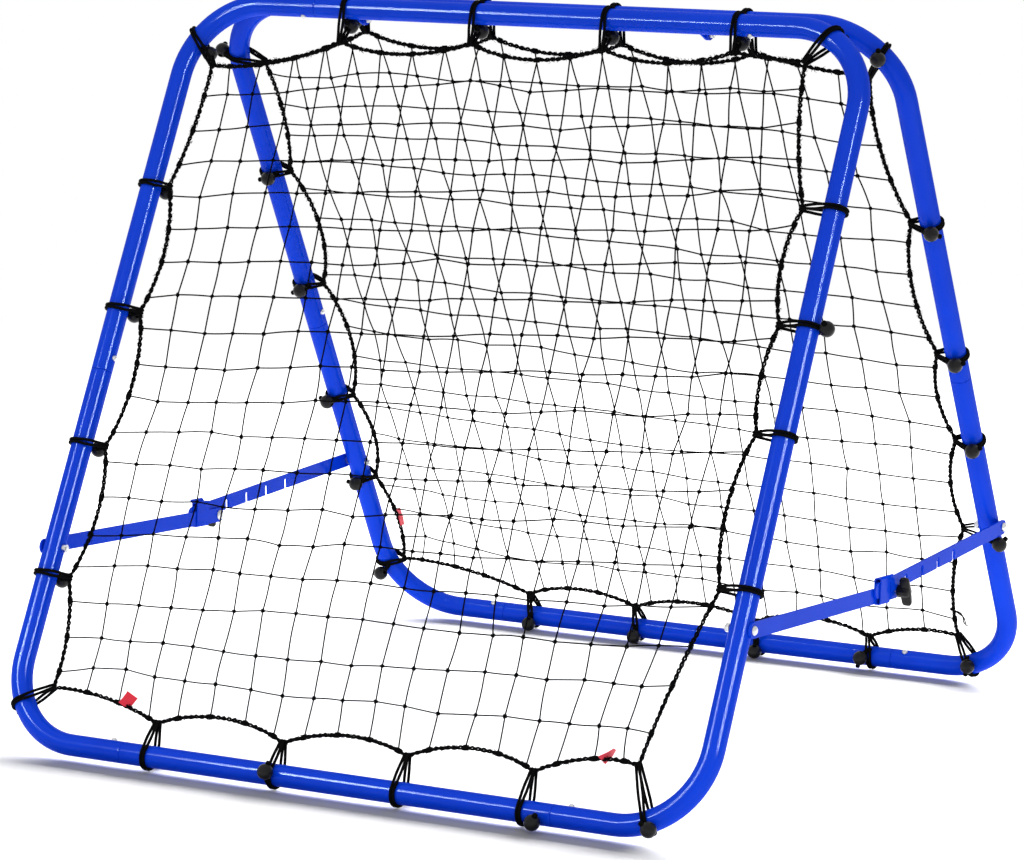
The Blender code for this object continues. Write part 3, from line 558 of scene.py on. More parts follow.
def corner_tube(sx, top):
    path = corner_path(sx, top)
    first, out = path[0]
    run = (path[1][0] - first).normalized()
    rings = [(first + run * d, out, TUBE_R - fall) for d, fall in reversed(ROUNDED_END)]
    rings += [(p, o, TUBE_R) for p, o in path[1:-1]]
    last, out = path[-1]
    run = (last - path[-2][0]).normalized()
    rings += [(last - run * d, out, TUBE_R - fall) for d, fall in ROUNDED_END]
    if top:
        rings.append((last, out, BORE_R))
    else:
        tip = last - Vector((0, SWAGE, 0))
        root = last + Vector((0, 0.004, 0))
        rings += [(last, out, SWAGE_R), (tip, out, SWAGE_R), (tip, out, SWAGE_BORE),
                  (root, out, SWAGE_BORE), (root, out, BORE_R)]
    rings += [(p, o, BORE_R) for p, o in reversed(path[:-1])]
    stations = [(p, o, (0, 0, 1), r) for p, o, r in rings]
    return sweep(Shape(), stations, TUBE_SIDES, True).object("tube", BLUE)


def button_places(which):
    """Name, place, way out of the tube and the two tubes of each snap button."""
    for sx in (-1.0, 1.0):
        side = side_of(which, sx)
        top, bottom = "top_corner_" + side, "bottom_corner_" + side
        x = sx * (BAR_HALF + BUTTON_BACK)
        yield "top_" + side, Vector((x, 0, 0)), Vector((0, 1, 0)), (top, "top_bar")
        yield "bottom_" + side, Vector((x, LEG, 0)), Vector((0, -1, 0)), (bottom, "bottom_bar")
        yield ("leg_" + side, Vector((sx * HALF_WIDTH, LEG_SEAM - BUTTON_BACK, 0)),
               Vector((-sx, 0, 0)), (top, bottom))


def snap_button(at, out):
    """Flanged pin with a rounded head."""
    r = BUTTON_R
    top = TUBE_R + BUTTON_RISE
    profile = [(PIN_SEAT - 0.0012, PIN_FLANGE_R - 0.0004), (PIN_SEAT - 0.0010, PIN_FLANGE_R),
               (PIN_SEAT, PIN_FLANGE_R), (PIN_SEAT, r)]
    profile += [(top - r * 0.80 * (1 - math.sin(t)), r * math.cos(t) ** 0.8)
                for t in np.linspace(0.0, math.pi / 2 * 0.97, 9)]
    return turned(Shape(), profile, at, out, 28)


def lug_plate(shape, x0, which):
    """Teardrop hinge plate with softened edges, in world axes."""
    root, pivot = (FACING[which] * BAR_SPREAD / 2, TOP_Z), (0.0, HINGE_Z)
    base = math.atan2(pivot[1] - root[1], pivot[0] - root[0])
    lean = math.acos((LUG_ROOT_R - LUG_TIP_R) / math.dist(root, pivot))
    outline = np.array(arc(root, LUG_ROOT_R, base + lean, base + TURN - lean, 12)
                       + arc(pivot, LUG_TIP_R, base - lean, base + lean, 12))
    inner = outline - unit(outline - np.mean(outline, 0)) * LUG_EDGE
    rows = []
    for x, ring in ((0.0, inner), (LUG_EDGE, outline), (LUG_T - LUG_EDGE, outline), (LUG_T, inner)):
        rows += [(x0 + x, y + SHIFT_Y, z) for y, z in ring]
    shape.add(rows, ring_faces(4, len(outline)))


def weld(shape, x0, which, seed):
    """Rough bead on each side of a hinge plate where it meets the tube."""
    rng = random.Random(seed)
    cy = FACING[which] * BAR_SPREAD / 2
    mid = math.atan2(HINGE_Z - TOP_Z, -cy)
    r = TUBE_R + 0.0002
    for x in (x0 - 0.0004, x0 + LUG_T + 0.0004):
        points, radii = [], []
        for y, z in arc((cy + SHIFT_Y, TOP_Z), r, mid - math.radians(42), mid + math.radians(42), 16):
            points.append((x + rng.uniform(-0.0002, 0.0002), y, z))
            radii.append(WELD_R + rng.uniform(-0.0002, 0.0003))
        radii[0] = radii[-1] = 0.0005
        tube(shape, points, radii, 8)


def build_frame(which):
    mat = stand(which)
    pieces = {"top_bar": straight_bar(0.0), "bottom_bar": straight_bar(LEG)}
    for sx in (-1.0, 1.0):
        pieces["top_corner_" + side_of(which, sx)] = corner_tube(sx, True)
        pieces["bottom_corner_" + side_of(which, sx)] = corner_tube(sx, False)
    for _, at, out, tubes in button_places(which):
        for key in tubes:
            hole = turned(Shape(), [(HOLE_FROM, BUTTON_R + GAP), (HOLE_TO, BUTTON_R + GAP)], at, out)
            boolean(pieces[key], hole.object("hole", BLUE))
    for key, obj in pieces.items():
        node = which + "_" + key
        obj.data.transform(mat)
        tidy(obj, 50)
        if key == "top_bar":
            lugs = Shape()
            for sx in (-1.0, 1.0):
                start = sx * HINGE_X + (GAP / 2 if which == "rear" else -LUG_T - GAP / 2)
                lug_plate(lugs, start, which)
                weld(lugs, start, which, 7 + int(sx) + (3 if which == "rear" else 0))
            join(obj, lugs.object("lugs", BLUE, sharp=35))
        obj.name = node + "_tube"
        obj.data.name = obj.name
        finish(obj, which + "_frame", "frame_blue", node)
    for key, at, out, _ in button_places(which):
        name = which + "_" + key
        obj = snap_button(at, out).object("snap_pin_" + name, ZINC, mat)
        finish(obj, "snap_" + name, "zinc_steel", "button_" + name)


# border rope and nets

def tie_points(which, side):
    """The loops of one side with its corners' loops first and last, in metres."""
    first, last = (TIES[which]["corners"][end] for end in ENDS[side])
    return [(x * HALF_WIDTH, y * LEG, *rest) for x, y, *rest in [first, *TIES[which][side], last]]


def rope_curve(which, side, per_bow=24):
    """Full bows between the loops, quick to rise next to them, as (x, y) rows."""
    ends = [np.array(tie[:2]) for tie in tie_points(which, side)]
    rows = []
    for a, b, depth in zip(ends, ends[1:], BOWS[which][side]):
        for t in np.arange(per_bow) / per_bow:
            bow = depth * 0.001 * math.sin(math.pi * t) ** BOW_FULLNESS
            rows.append(a * (1 - t) + b * t + np.array(INWARD[side]) * bow)
    return np.array(rows + [ends[-1]])


def sample(points, at, want):
    """Points of a line, whose own points have the places at, for the wanted places."""
    return np.stack([np.interp(want, at, column) for column in points.T], 1)


def even(points, count):
    """Points spread evenly by length along a line."""
    step = np.linalg.norm(np.diff(points, axis=0), axis=1)
    at = np.concatenate([[0.0], np.cumsum(step)])
    return sample(points, at, np.linspace(0.0, at[-1], count))


def net_ends(which, side):
    """Rope points at the measured shares between the side's two corners."""
    line = rope_curve(which, side)
    along = line[:, 0 if side in ("top", "bottom") else 1]
    share = (along - along[0]) / (along[-1] - along[0])
    order = np.argsort(share)
    want = np.array((0, *MARKS[which][side], 1000)) / 1000
    return sample(line[order], share[order], want)


def net_grid(which):
    """Knot places of a stretched net whose threads pull a little unevenly."""
    n = MESHES
    rng = np.random.default_rng(11 if which == "front" else 23)
    grid = np.zeros((n + 1, n + 1, 3))
    grid[:, 0, :2], grid[:, n, :2] = net_ends(which, "top"), net_ends(which, "bottom")
    grid[0, :, :2], grid[n, :, :2] = net_ends(which, "left"), net_ends(which, "right")
    pull = {}
    inner = [(i, j) for i in range(1, n) for j in range(1, n)]
    matrix = np.zeros((len(inner), len(inner)))
    known = np.zeros((len(inner), 2))
    for row, (i, j) in enumerate(inner):
        for other in ((i - 1, j), (i + 1, j), (i, j - 1), (i, j + 1)):
            thread = (min((i, j), other), max((i, j), other))
            if thread not in pull:
                pull[thread] = math.exp(rng.normal(0.0, NET_PULL))
            matrix[row, row] += pull[thread]
            if 0 < other[0] < n and 0 < other[1] < n:
                matrix[row, inner.index(other)] -= pull[thread]
            else:
                known[row] += pull[thread] * grid[other][:2]
    for (i, j), spot in zip(inner, np.linalg.solve(matrix, known)):
        hang = math.sin(math.pi * i / n) * math.sin(math.pi * j / n)
        grid[i, j] = (*spot, -NET_HANG * hang + rng.normal(0.0, 0.0010))
    return grid


def knot(shape, at, turn, size, rng):
    """Tight three-lobed knot of twine."""
    t = angles(KNOT_STEPS)[:, 0]
    x = (2 + np.cos(3 * t)) * np.cos(2 * t)
    y = (2 + np.cos(3 * t)) * np.sin(2 * t)
    z = np.sin(3 * t) * 1.1
    c, s = math.cos(turn), math.sin(turn)
    points = np.stack([x * c - y * s, x * s + y * c, z], 1) * (size / 3.0)
    points *= np.array([1.0 + rng.uniform(-0.12, 0.12), 1.0 + rng.uniform(-0.12, 0.12), 1.0])
    tube(shape, points + at, size * 0.42, 5, True)


def net_piece(which):
    rng = np.random.default_rng(5 if which == "front" else 6)
    grid = net_grid(which) * np.array([FACING[which], 1.0, 1.0])
    n = MESHES
    t = np.linspace(0, 1, 6)[:, None]
    shape = Shape()
    for i in range(n + 1):
        for j in range(n + 1):
            for di, dj in ((1, 0), (0, 1)):
                at_rim = (j if di else i) in (0, n)
                if i + di > n or j + dj > n or at_rim:
                    continue
                a, b = grid[i, j], grid[i + di, j + dj]
                bend = rng.normal(0, 1, 3) * np.array([0.0004, 0.0004, 0.0006])
                tube(shape, a + (b - a) * t + bend * np.sin(math.pi * t), NET_R)
    for row in grid[1:-1, 1:-1]:
        for at in row:
            knot(shape, at, rng.uniform(0, 6.28), KNOT_R, rng)
    obj = shape.object(which + "_net_twine", TWINE, stand(which), 60)
    finish(obj, which + "_frame", "black_cord", which + "_net")


def border_rope(which):
    """One closed rope of two loosely laid strands and a thin thread, with loose fibres."""
    facing = np.array([FACING[which], 1.0])
    loop = []
    for side, step in (("top", 1), ("right", 1), ("bottom", -1), ("left", -1)):
        loop += list(rope_curve(which, side)[::step][:-1])
    count = ROPE_STEPS
    line = even(np.array(loop + loop[:1]), count + 1)[:-1]
    for _ in range(4):
        line = (np.roll(line, 1, 0) + line * 2 + np.roll(line, -1, 0)) / 4
    rng = np.random.default_rng(31 if which == "front" else 37)
    path = np.pad(line * facing, ((0, 0), (0, 1)))
    u, v = transport(path, True)
    turns = round(np.linalg.norm(np.roll(path, -1, 0) - path, axis=1).sum() / ROPE_PITCH)
    spot = np.arange(count)
    rough = np.convolve(rng.normal(0, 1, count + 8), np.ones(3) / 3, "same")[4:-4]
    shape = Shape()
    for k in range(2):
        a = TURN * (spot * turns / count + k / 2) + 0.5 * np.sin(spot * 0.045 + k)
        lay = LAY_R * (1.0 + 0.16 * np.sin(spot * 0.061 + 2 * k) + 0.05 * np.sin(spot * 0.37 + k))
        thick = STRAND_R * (1 + 0.10 * rough + 0.05 * np.sin(spot * 0.9 + 2 * k))
        tube(shape, path + around(u, v, a, lay), thick, 7, True)
    a = -TURN * (spot * (turns * 2 + 3) / count)
    tube(shape, path + around(u, v, a, LAY_R + 0.0006), THREAD_R, 5, True)
    for _ in range(FIBRES):
        i = int(rng.integers(count))
        t = rng.uniform(0, TURN)
        out = u[i] * math.cos(t) + v[i] * math.sin(t)
        ahead = unit(path[(i + 1) % count] - path[i])
        root = path[i] + out * ROPE_R * 0.5
        long = rng.uniform(0.0020, 0.0048)
        mid = root + out * long * 0.6 + ahead * long * rng.uniform(-0.5, 0.5)
        tip = root + out * long * 0.9 + ahead * long * rng.uniform(-1, 1)
        tube(shape, [root, mid, tip], FIBRE_R, 4)
    for side in INWARD:
        for q in net_ends(which, side)[1:-1]:
            hitch(shape, np.array([*(q * facing), 0.0]), path, u, v, rng)
    if which == "rear":
        loose_end(shape)
    obj = shape.object(which + "_border_rope", ROPE, stand(which), 60)
    finish(obj, which + "_frame", "black_cord", *[which + "_rope_" + s for s in INWARD])


def loose_end(shape):
    """Two twisted strands that part at their tips."""
    line = np.array(LOOSE_END)
    fine = np.linspace(0, len(line) - 1, 31)
    path = sample(line, np.arange(len(line)), fine)
    for _ in range(3):
        path[1:-1] = (path[:-2] + path[1:-1] * 2 + path[2:]) / 4
    u, v = transport(path, False)
    share = fine / fine[-1]
    for k in range(2):
        offset = around(u, v, math.pi * k + fine * 2.0, 0.0009 + 0.0009 * share ** 4)
        tube(shape, path + offset, 0.00110 * (1 - 0.5 * share ** 3), 7)


def hitch(shape, at, path, u, v, rng):
    """Twine hitched round the rope where a net thread ends, as a small lump."""
    i = int(np.argmin(np.linalg.norm(path - at, axis=1)))
    n = len(path)
    wide = rng.uniform(0.0060, 0.0085)
    step = np.linalg.norm(path[(i + 1) % n] - path[i])
    points = []
    for s in np.arange(HITCH_STEPS) / (HITCH_STEPS - 1):
        t = TURN * HITCH_COILS * s
        j = (i + round((s - 0.5) * wide / step)) % n
        full = ROPE_R + 0.0001 + 0.0003 * math.sin(math.pi * s)
        points.append(path[j] + (u[i] * math.cos(t) + v[i] * math.sin(t)) * full)
    tube(shape, points, HITCH_R, 5)


# elastic loops and their balls

def tube_at(which, side, point):
    """Tube direction and the axis point nearest to where the loop pulls."""
    x, y = FACING[which] * point[0], point[1]
    if side in ("top", "bottom"):
        return Vector((1, 0, 0)), Vector((x, 0 if side == "top" else LEG, 0))
    if side in SIDES:
        return Vector((0, 1, 0)), Vector((FACING[which] * SIDES[side] * HALF_WIDTH, y, 0))
    sx = math.copysign(1.0, x)
    end = -1 if side == "corner_top" else 1
    a = math.radians(CROSSINGS[which][side][int(point[0] > 0)])
    out = Vector((sx * math.cos(a), end * math.sin(a), 0))
    mid = Vector((sx * (HALF_WIDTH - BEND_R), BEND_R if end < 0 else LEG - BEND_R, 0))
    return Vector((-out.y, out.x, 0)), mid + out * BEND_R


def belt(reach, big, small):
    """Open belt round a big circle at 0 and a small one at reach: (x, y) rows."""
    lean = math.acos((big - small) / reach)
    round_tube = arc((0.0, 0.0), big, lean, TURN - lean, 22)
    round_rope = arc((reach, 0.0), small, -lean, lean, 7)
    rows = []
    for here, there in ((round_tube, round_rope), (round_rope, round_tube)):
        (ax, ay), (bx, by) = here[-1], there[0]
        rows += here + [(ax * (1 - s) + bx * s, ay * (1 - s) + by * s) for s in (0.2, 0.4, 0.6, 0.8)]
    return rows


def elastic_tie(cords, balls, which, side, point, rng):
    """Doubled elastic loop round tube and rope, threaded through its ball."""
    hold = Vector((FACING[which] * point[0], point[1], 0))
    axis, centre = tube_at(which, side, point)
    e1 = hold - centre
    reach = e1.length
    e1.normalize()
    e2 = Vector((0, 0, 1))
    slant = max(0.7, e1.cross(axis).length)
    axis = e2.cross(e1)
    beside_stay = side in SIDES and abs(point[1] - STAY_LEG) < STAY_NEAR
    cord = PINCHED_R if beside_stay else CORD_R
    big = TUBE_R / slant + GAP + cord
    rows = belt(reach, big, ROPE_R + cord * 0.8)
    for s in (-1.0, 1.0):
        points = []
        for a, b in rows:
            near = min(1.0, max(0.0, (reach - a) / reach))
            spread = s * STRAND_STEP * (0.88 + 0.42 * math.sin(math.pi * near) ** 2)
            points.append(centre + e1 * a + e2 * b + axis * (spread + rng.uniform(-0.0001, 0.0001)))
        tube(cords, points, cord, 8, True)

    def way(angle):
        return e1 * math.cos(angle) + e2 * math.sin(angle)

    t = math.radians(point[2])
    away = TUBE_R + GAP + BALL_R
    stood = stand(which)
    lift = math.radians(-1 if math.sin(t) > 0 else 1)
    while (stood @ (centre + way(t) * away)).z < BALL_R + GAP:
        t += lift
    out = way(t)
    along = Matrix.Rotation(rng.uniform(-0.5, 0.5), 3, out) @ out.cross(axis).normalized()
    aside = axis * (point[3] / 1000 if len(point) > 3 else 0.0)
    middle = centre + out * away + aside
    ball(balls, middle, along)
    stub = [middle + along * d for d in (-BALL_R - 0.0042, -BALL_R - 0.0030, -BALL_R + 0.002)]
    tube(cords, stub, [0.0022, 0.0034, 0.0034], 10)
    for s in (-1.0, 1.0):
        points = []
        for k in range(7):
            q = k / 6
            spread = s * STRAND_STEP * (0.4 + 0.6 * q)
            points.append(centre + way(t + math.radians(46) * q) * (away * (1 - q) + big * q)
                          + aside * (1 - q) + axis * spread)
        tube(cords, points, cord * 0.96, 8)


def ball(shape, middle, along):
    """Moulded ball with a bored hole, a soft flat at each end and a mould line."""
    a0 = math.asin((BALL_HOLE + BALL_LIP) / BALL_R)
    profile = []
    for t in np.linspace(a0, math.pi - a0, 23):
        r = BALL_R + (MOULD_LINE if abs(t - math.pi / 2) < 0.05 else 0.0)
        profile.append((-r * math.cos(t), r * math.sin(t)))
    top = profile[-1][0]
    rim = [(top - 0.0001, BALL_HOLE + 0.0002), (top - 0.0008, BALL_HOLE)]
    profile = [(-d, r) for d, r in reversed(rim)] + profile + rim
    x = along.orthogonal().normalized()
    y = along.cross(x)
    sweep(shape, [(middle + along * d, x, y, r) for d, r in profile], 28, True)


def ties(which):
    body, mat = which + "_frame", stand(which)
    for side in INWARD:
        cords, balls = Shape(), Shape()
        rng = random.Random(len(side) * 7 + (1 if which == "front" else 2))
        first, *inner, last = tie_points(which, side)
        listed = [(side, point) for point in inner]
        if side in ("top", "bottom"):
            listed += [("corner_" + side, first), ("corner_" + side, last)]
        for spot, point in listed:
            elastic_tie(cords, balls, which, spot, point, rng)
        obj = cords.object("%s_elastic_loops_%s" % (which, side), ELASTIC, mat, 60)
        # the loops under the bottom bars lie flat on the floor
        for vertex in obj.data.vertices:
            vertex.co.z = max(vertex.co.z, 0.0)
        finish(obj, body, "black_cord")
        obj = balls.object("%s_tie_balls_%s" % (which, side), PLASTIC, mat, 35)
        finish(obj, body, "black_plastic")


# cloth tags

def camera_axes():
    """Right, up and ahead of the photo's camera, in the world."""
    az, el, roll = (math.radians(v) for v in (CAM_AZ, CAM_EL, CAM_ROLL))
    ahead = Vector((-math.sin(az) * math.cos(el), math.cos(az) * math.cos(el), -math.sin(el)))
    right = ahead.cross(Vector((0, 0, 1))).normalized()
    up = right.cross(ahead)
    return (right * math.cos(roll) + up * math.sin(roll),
            up * math.cos(roll) - right * math.sin(roll), ahead)


def tag_cloth(index, twist, tall, nx=14, ny=16):
    """Thin twisted rectangle that curls a little, y up."""
    up, across = (side.ravel() for side in np.mgrid[0:1:(ny + 1) * 1j, 0:1:(nx + 1) * 1j] - 0.5)
    curl = 0.0008 * np.sin(2.2 * across + index) * (up + 0.5) ** 2
    curl += 0.0006 * np.sin(5.0 * up + 0.7 * index)
    turn = math.radians(twist) * (up + 0.5)
    c, s, x = np.cos(turn), np.sin(turn), across * TAG_W
    layers = [np.stack([x * c - z * s, up * tall, x * s + z * c], 1)
              for z in (curl + TAG_T / 2, curl - TAG_T / 2)]
    row, under = nx + 1, len(up)
    rim = [*range(row), *range(row + nx, under, row)]
    rim += [*range(under - 2, ny * row - 1, -1), *range((ny - 1) * row, 0, -row)]
    sides = [(a, under + a, under + b, b) for a, b in zip(rim, rim[1:] + rim[:1])]
    return Shape().add(np.concatenate(layers), grid_faces(nx, ny) + grid_faces(nx, ny, under) + sides)


def tag(index, which, side, share, rise, across, twist, tall):
    """Cloth tag set against the border rope on the camera's side, turned as the photo shows it."""
    line = rope_curve(which, side)
    spot = line[round(share * (len(line) - 1))]
    axes = camera_axes()
    y = sum((a * k for a, k in zip(axes, rise)), Vector()).normalized()
    x = sum((a * k for a, k in zip(axes, across)), Vector())
    x = (x - y * x.dot(y)).normalized()
    z = x.cross(y)
    front = z if z.dot(axes[2]) < 0 else -z
    base = stand(which) @ Vector((FACING[which] * spot[0], spot[1], 0))
    at = base + front * (ROPE_R + GAP + TAG_T) + y * (tall / 2 - 0.4 * ROPE_R)
    obj = tag_cloth(index, twist, tall).object("red_tag_%d" % index, RED, axes_at(x, y, z, at), 60)
    finish(obj, which + "_frame", "red_fabric", "tag_%d" % index)


# stays, bolts, clips and knobs

def hexagon_nut(shape, base, axis, height, turn=0.2, sides=36):
    """Hexagon nut with chamfered faces, as rings squeezed to six flats."""
    x = Matrix.Rotation(turn, 3, axis) @ axis.orthogonal().normalized()
    t = angles(sides)
    flat = NUT_AF / 2 / np.cos(t % (math.pi / 3) - math.pi / 6)
    peak = NUT_AF / math.sqrt(3)
    sweep(shape, [(base + axis * d * height, x, axis.cross(x), np.minimum(flat, peak * cap))
                  for d, cap in ((0.0, 0.93), (0.12, 1.0), (0.88, 1.0), (1.0, 0.93))], sides)


def screw_end(shape, base, axis, radius, length):
    """Threaded end: a rod with ring grooves and a chamfered tip."""
    profile = [(0.0, radius)]
    d = 0.0
    while d + SCREW_PITCH < length:
        profile += [(d + SCREW_PITCH * 0.45, radius), (d + SCREW_PITCH * 0.75, radius * 0.86),
                    (d + SCREW_PITCH, radius)]
        d += SCREW_PITCH
    turned(shape, profile + [(length, radius * 0.8)], base, axis, 20)


def dome(width, height):
    """Profile of a domed head whose flat face is at 0."""
    return [(-height * math.cos(t), max(0.0002, width / 2 * math.sin(t) ** 0.9))
            for t in np.linspace(0.05, math.pi / 2, 10)]


def domed_bolt(name, body, node, base, axis, head, grip, nut_h, collar=()):
    """Domed bolt with its nut; collar is what the shank's profile has more."""
    shank = SCREW_D / 2
    profile = dome(*head) + [(0.0, head[0] / 2 * 0.995), (0.0, shank), *collar,
                             (grip + nut_h * 0.5, shank)]
    shape = turned(Shape(), profile, base, axis)
    hexagon_nut(shape, base + axis * grip, axis, nut_h)
    screw_end(shape, base + axis * (grip + nut_h * 0.45), axis, shank, nut_h * 0.55 + 0.002)
    finish(shape.object(name, ZINC, None, 38), body, "zinc_steel", node)


def hinge_bolts():
    for side, sx in SIDES.items():
        base = Vector((sx * HINGE_X - (LUG_T + 1.5 * GAP), SHIFT_Y, HINGE_Z))
        domed_bolt("hinge_screw_" + side, "front_frame", "hinge_bolt_" + side, base,
                   Vector((1, 0, 0)), HINGE_HEAD, 2 * LUG_T + 3 * GAP, HINGE_NUT_H)


def stay_parts(side, sx):
    through = 2 * TUBE_R + 2 * GAP
    out = Vector((sx, 0, 0))
    a = Vector((0, -PIVOT_Y + SHIFT_Y, PIVOT_Z))
    b = Vector((0, PIVOT_Y + SHIFT_Y, PIVOT_Z))
    m = Vector((0, LOCK_Y + SHIFT_Y, LOCK_Z))
    domed_bolt("front_stay_screw_" + side, "front_frame", "front_stay_bolt_" + side,
               a + out * (STAY_IN + STAY_T + GAP), -out, STAY_HEAD, STAY_T + GAP + through, STAY_NUT_H)
    start, stop = STAY_T + 2 * GAP, 2 * STAY_T + GAP
    collar = [(start, SCREW_D / 2), (start, COLLAR_R), (stop, COLLAR_R), (stop, SCREW_D / 2)]
    domed_bolt("rear_stay_screw_" + side, "rear_frame", "rear_stay_bolt_" + side,
               b + out * (STAY_OUT + GAP), -out, STAY_HEAD, STAY_OUT + GAP - STAY_IN + through,
               STAY_NUT_H, collar)
    profile = dome(*LOCK_HEAD)
    profile += [(0.0, LOCK_BOLT_R), (STAY_OUT - STAY_IN + HUB_LEN * 0.8, LOCK_BOLT_R)]
    screw = turned(Shape(), profile, m + out * (STAY_IN - GAP), out)
    obj = screw.object("lock_screw_" + side, ZINC, None, 38)
    finish(obj, "front_stay_assembly_" + side, "zinc_steel", "lock_bolt_" + side)
    wing_knob(side, out, m + out * (STAY_OUT + GAP))
    clip_collar(side, out, a, b, m)
    for node in ("front_stay_", "rear_stay_"):
        dress(frame["nodes"][node + side])


def fillet(points, radius, steps=5):
    """Round the inner corners of an open line of (x, y) points."""
    points = [Vector(p) for p in points]
    out = [points[0]]
    for p, q, r in zip(points, points[1:], points[2:]):
        a, b = (p - q).normalized(), (r - q).normalized()
        half = a.angle(b) / 2
        cut = radius / math.tan(half)
        mid = q + (a + b).normalized() * (radius / math.sin(half))
        start, end = q + a * cut - mid, q + b * cut - mid
        for k in range(steps + 1):
            out.append(mid + (start * (1 - k / steps) + end * (k / steps)).normalized() * radius)
    return out + [points[-1]]


def clip_collar(side, out, a, b, m):
    """Bent sheet collar round both stay bars, its outer top edge turned out as a lip."""
    over = m + Vector((0, 0, STAY_W / 2 + LOCK_BOLT_R + GAP))
    run = (m - a).normalized()
    rise = Vector((0, -run.z, run.y))
    length = (m - a).length - CLIP_BACK
    back = over + (over - b).normalized() * CLIP_BACK
    half = CLIP_T / 2
    high = (back - a).dot(rise) + STAY_W / 2 + CLIP_PLAY + half
    low = -STAY_W / 2 - GAP - half
    inner, outer = STAY_IN - GAP - half, STAY_OUT + GAP + half
    lip = LIP_H * math.sqrt(0.5)
    line = fillet([(outer + lip, high + lip), (outer, high), (outer, low), (inner, low),
                   (inner, high), (outer - half, high)], CLIP_T * 1.1)
    n = len(line)
    line = np.pad(line, ((0, 0), (0, 1)))
    _, wall = transport(line, False)
    rings = []
    for z, thin in ((-CLIP_LEN / 2, CLIP_EDGE), (CLIP_EDGE - CLIP_LEN / 2, 0.0),
                    (CLIP_LEN / 2 - CLIP_EDGE, 0.0), (CLIP_LEN / 2, CLIP_EDGE)):
        ring = [*(line - wall * (half - thin)), *(line + wall * (half - thin))[::-1]]
        rings += [a + out * p[0] + run * (length + z) + rise * p[1] for p in ring]
    faces = ring_faces(4, 2 * n, caps=False)
    for start in (0, 6 * n):
        faces += [(start + k, start + k + 1, start + 2 * n - 2 - k, start + 2 * n - 1 - k)
                  for k in range(n - 1)]
    obj = Shape().add(rings, faces).object("guide_collar_" + side, BLUE, None, 35)
    finish(obj, "front_stay_assembly_" + side, "frame_blue", "clip_" + side)


def knob_hub(out, base, sides=48):
    """Ribbed hub along x."""
    profile = [(0.0, HUB_R * 0.94), (0.0006, HUB_R), (HUB_LEN - 0.0035, HUB_R),
               (HUB_LEN - 0.0015, HUB_R * 0.92), (HUB_LEN - 0.0004, HUB_R * 0.70),
               (HUB_LEN, HUB_R * 0.25)]
    ribs = RIB_H * np.cos(12 * angles(sides))
    stations = []
    for d, r in profile:
        ribbed = 0.0004 < d < HUB_LEN - 0.003
        stations.append((base + out * d, (0, 1, 0), (0, 0, 1),
                         r - RIB_H + (ribs if ribbed else 0.0)))
    return sweep(Shape(), stations, sides)


def knob_wing(out, base, steps=28, sides=24):
    """Solid paddle across the hub's end, as rounded boxes in a row."""
    run = Vector((0, -math.sin(WING_TURN), math.cos(WING_TURN)))
    cross = Vector((0, math.cos(WING_TURN), math.sin(WING_TURN)))
    mid = base + out * (HUB_LEN - WING_H * 0.45)
    t = angles(sides)
    c, d = np.cos(t), np.sin(t)
    c, d = np.sign(c) * abs(c) ** 0.45, np.sign(d) * abs(d) ** 0.55
    rows = []
    for s in np.linspace(-1, 1, steps + 1):
        body = max(0.03, (1 - abs(s) ** 12) ** 0.5)
        half_h = WING_H / 2 * (1 - 0.16 * s * s) * body
        half_t = WING_T / 2 * (1 - 0.18 * abs(s)) * body
        centre = mid + run * (s * WING_SPAN / 2)
        rows.append(np.array(centre) + np.array(out) * c * half_h + np.array(cross) * d * half_t)
    return Shape().add(np.concatenate(rows), ring_faces(steps + 1, sides))


def wing_knob(side, out, base):
    """Hub and paddle as one moulded piece."""
    knob = knob_hub(out, base).object("wing_grip_" + side, PLASTIC)
    boolean(knob, knob_wing(out, base).object("wing", PLASTIC), "UNION")
    tidy(knob, 42)
    knob.data.name = knob.name
    finish(knob, "knob_" + side, "black_plastic", "wing_knob_" + side)


def dress(obj):
    """Painted CAD plate with softened edges."""
    for slot in obj.material_slots:
        slot.material = BLUE
    if not obj.material_slots:
        obj.data.materials.append(BLUE)
    mod = obj.modifiers.new("soft_edges", "BEVEL")
    mod.width = PLATE_EDGE
    mod.segments = 2
    mod.limit_method = "ANGLE"
    mod.angle_limit = math.radians(40)
    mod.harden_normals = True


# stage, camera and lamps

def stage():
    n = FLOOR_CELLS
    rows = [((i / n - 0.5) * FLOOR_SIZE, (j / n - 0.5) * FLOOR_SIZE, -0.0004)
            for j in range(n + 1) for i in range(n + 1)]
    floor = Shape().add(rows, grid_faces(n, n)).object("floor", white_floor())
    return floor


def world():
    n = Nodes("studio", world=True)
    bpy.context.scene.world = n.set(Color=(1, 1, 1, 1), Strength=n.span(n.seen(), AMBIENT, 1.0))


def lamp(name, kind, lit, state, **values):
    """Lamp that the camera doesn't see and that leaves out or lights only the listed pieces."""
    data = bpy.data.lights.new(name, kind)
    for key, value in values.items():
        setattr(data, key, value)
    obj = place(name, data)
    obj.visible_camera = False
    group = bpy.data.collections.new(name + "_lit")
    for other in lit:
        group.objects.link(other)
    obj.light_linking.receiver_collection = group
    for entry in group.collection_objects:
        entry.light_linking.link_state = state
    return obj


def panel(name, lit, wide, high, radiance, **values):
    """Rectangular lamp for the listed pieces alone."""
    return lamp(name, "AREA", lit, "INCLUDE", shape="RECTANGLE", size=wide, size_y=high,
                energy=radiance * math.pi * wide * high, **values)


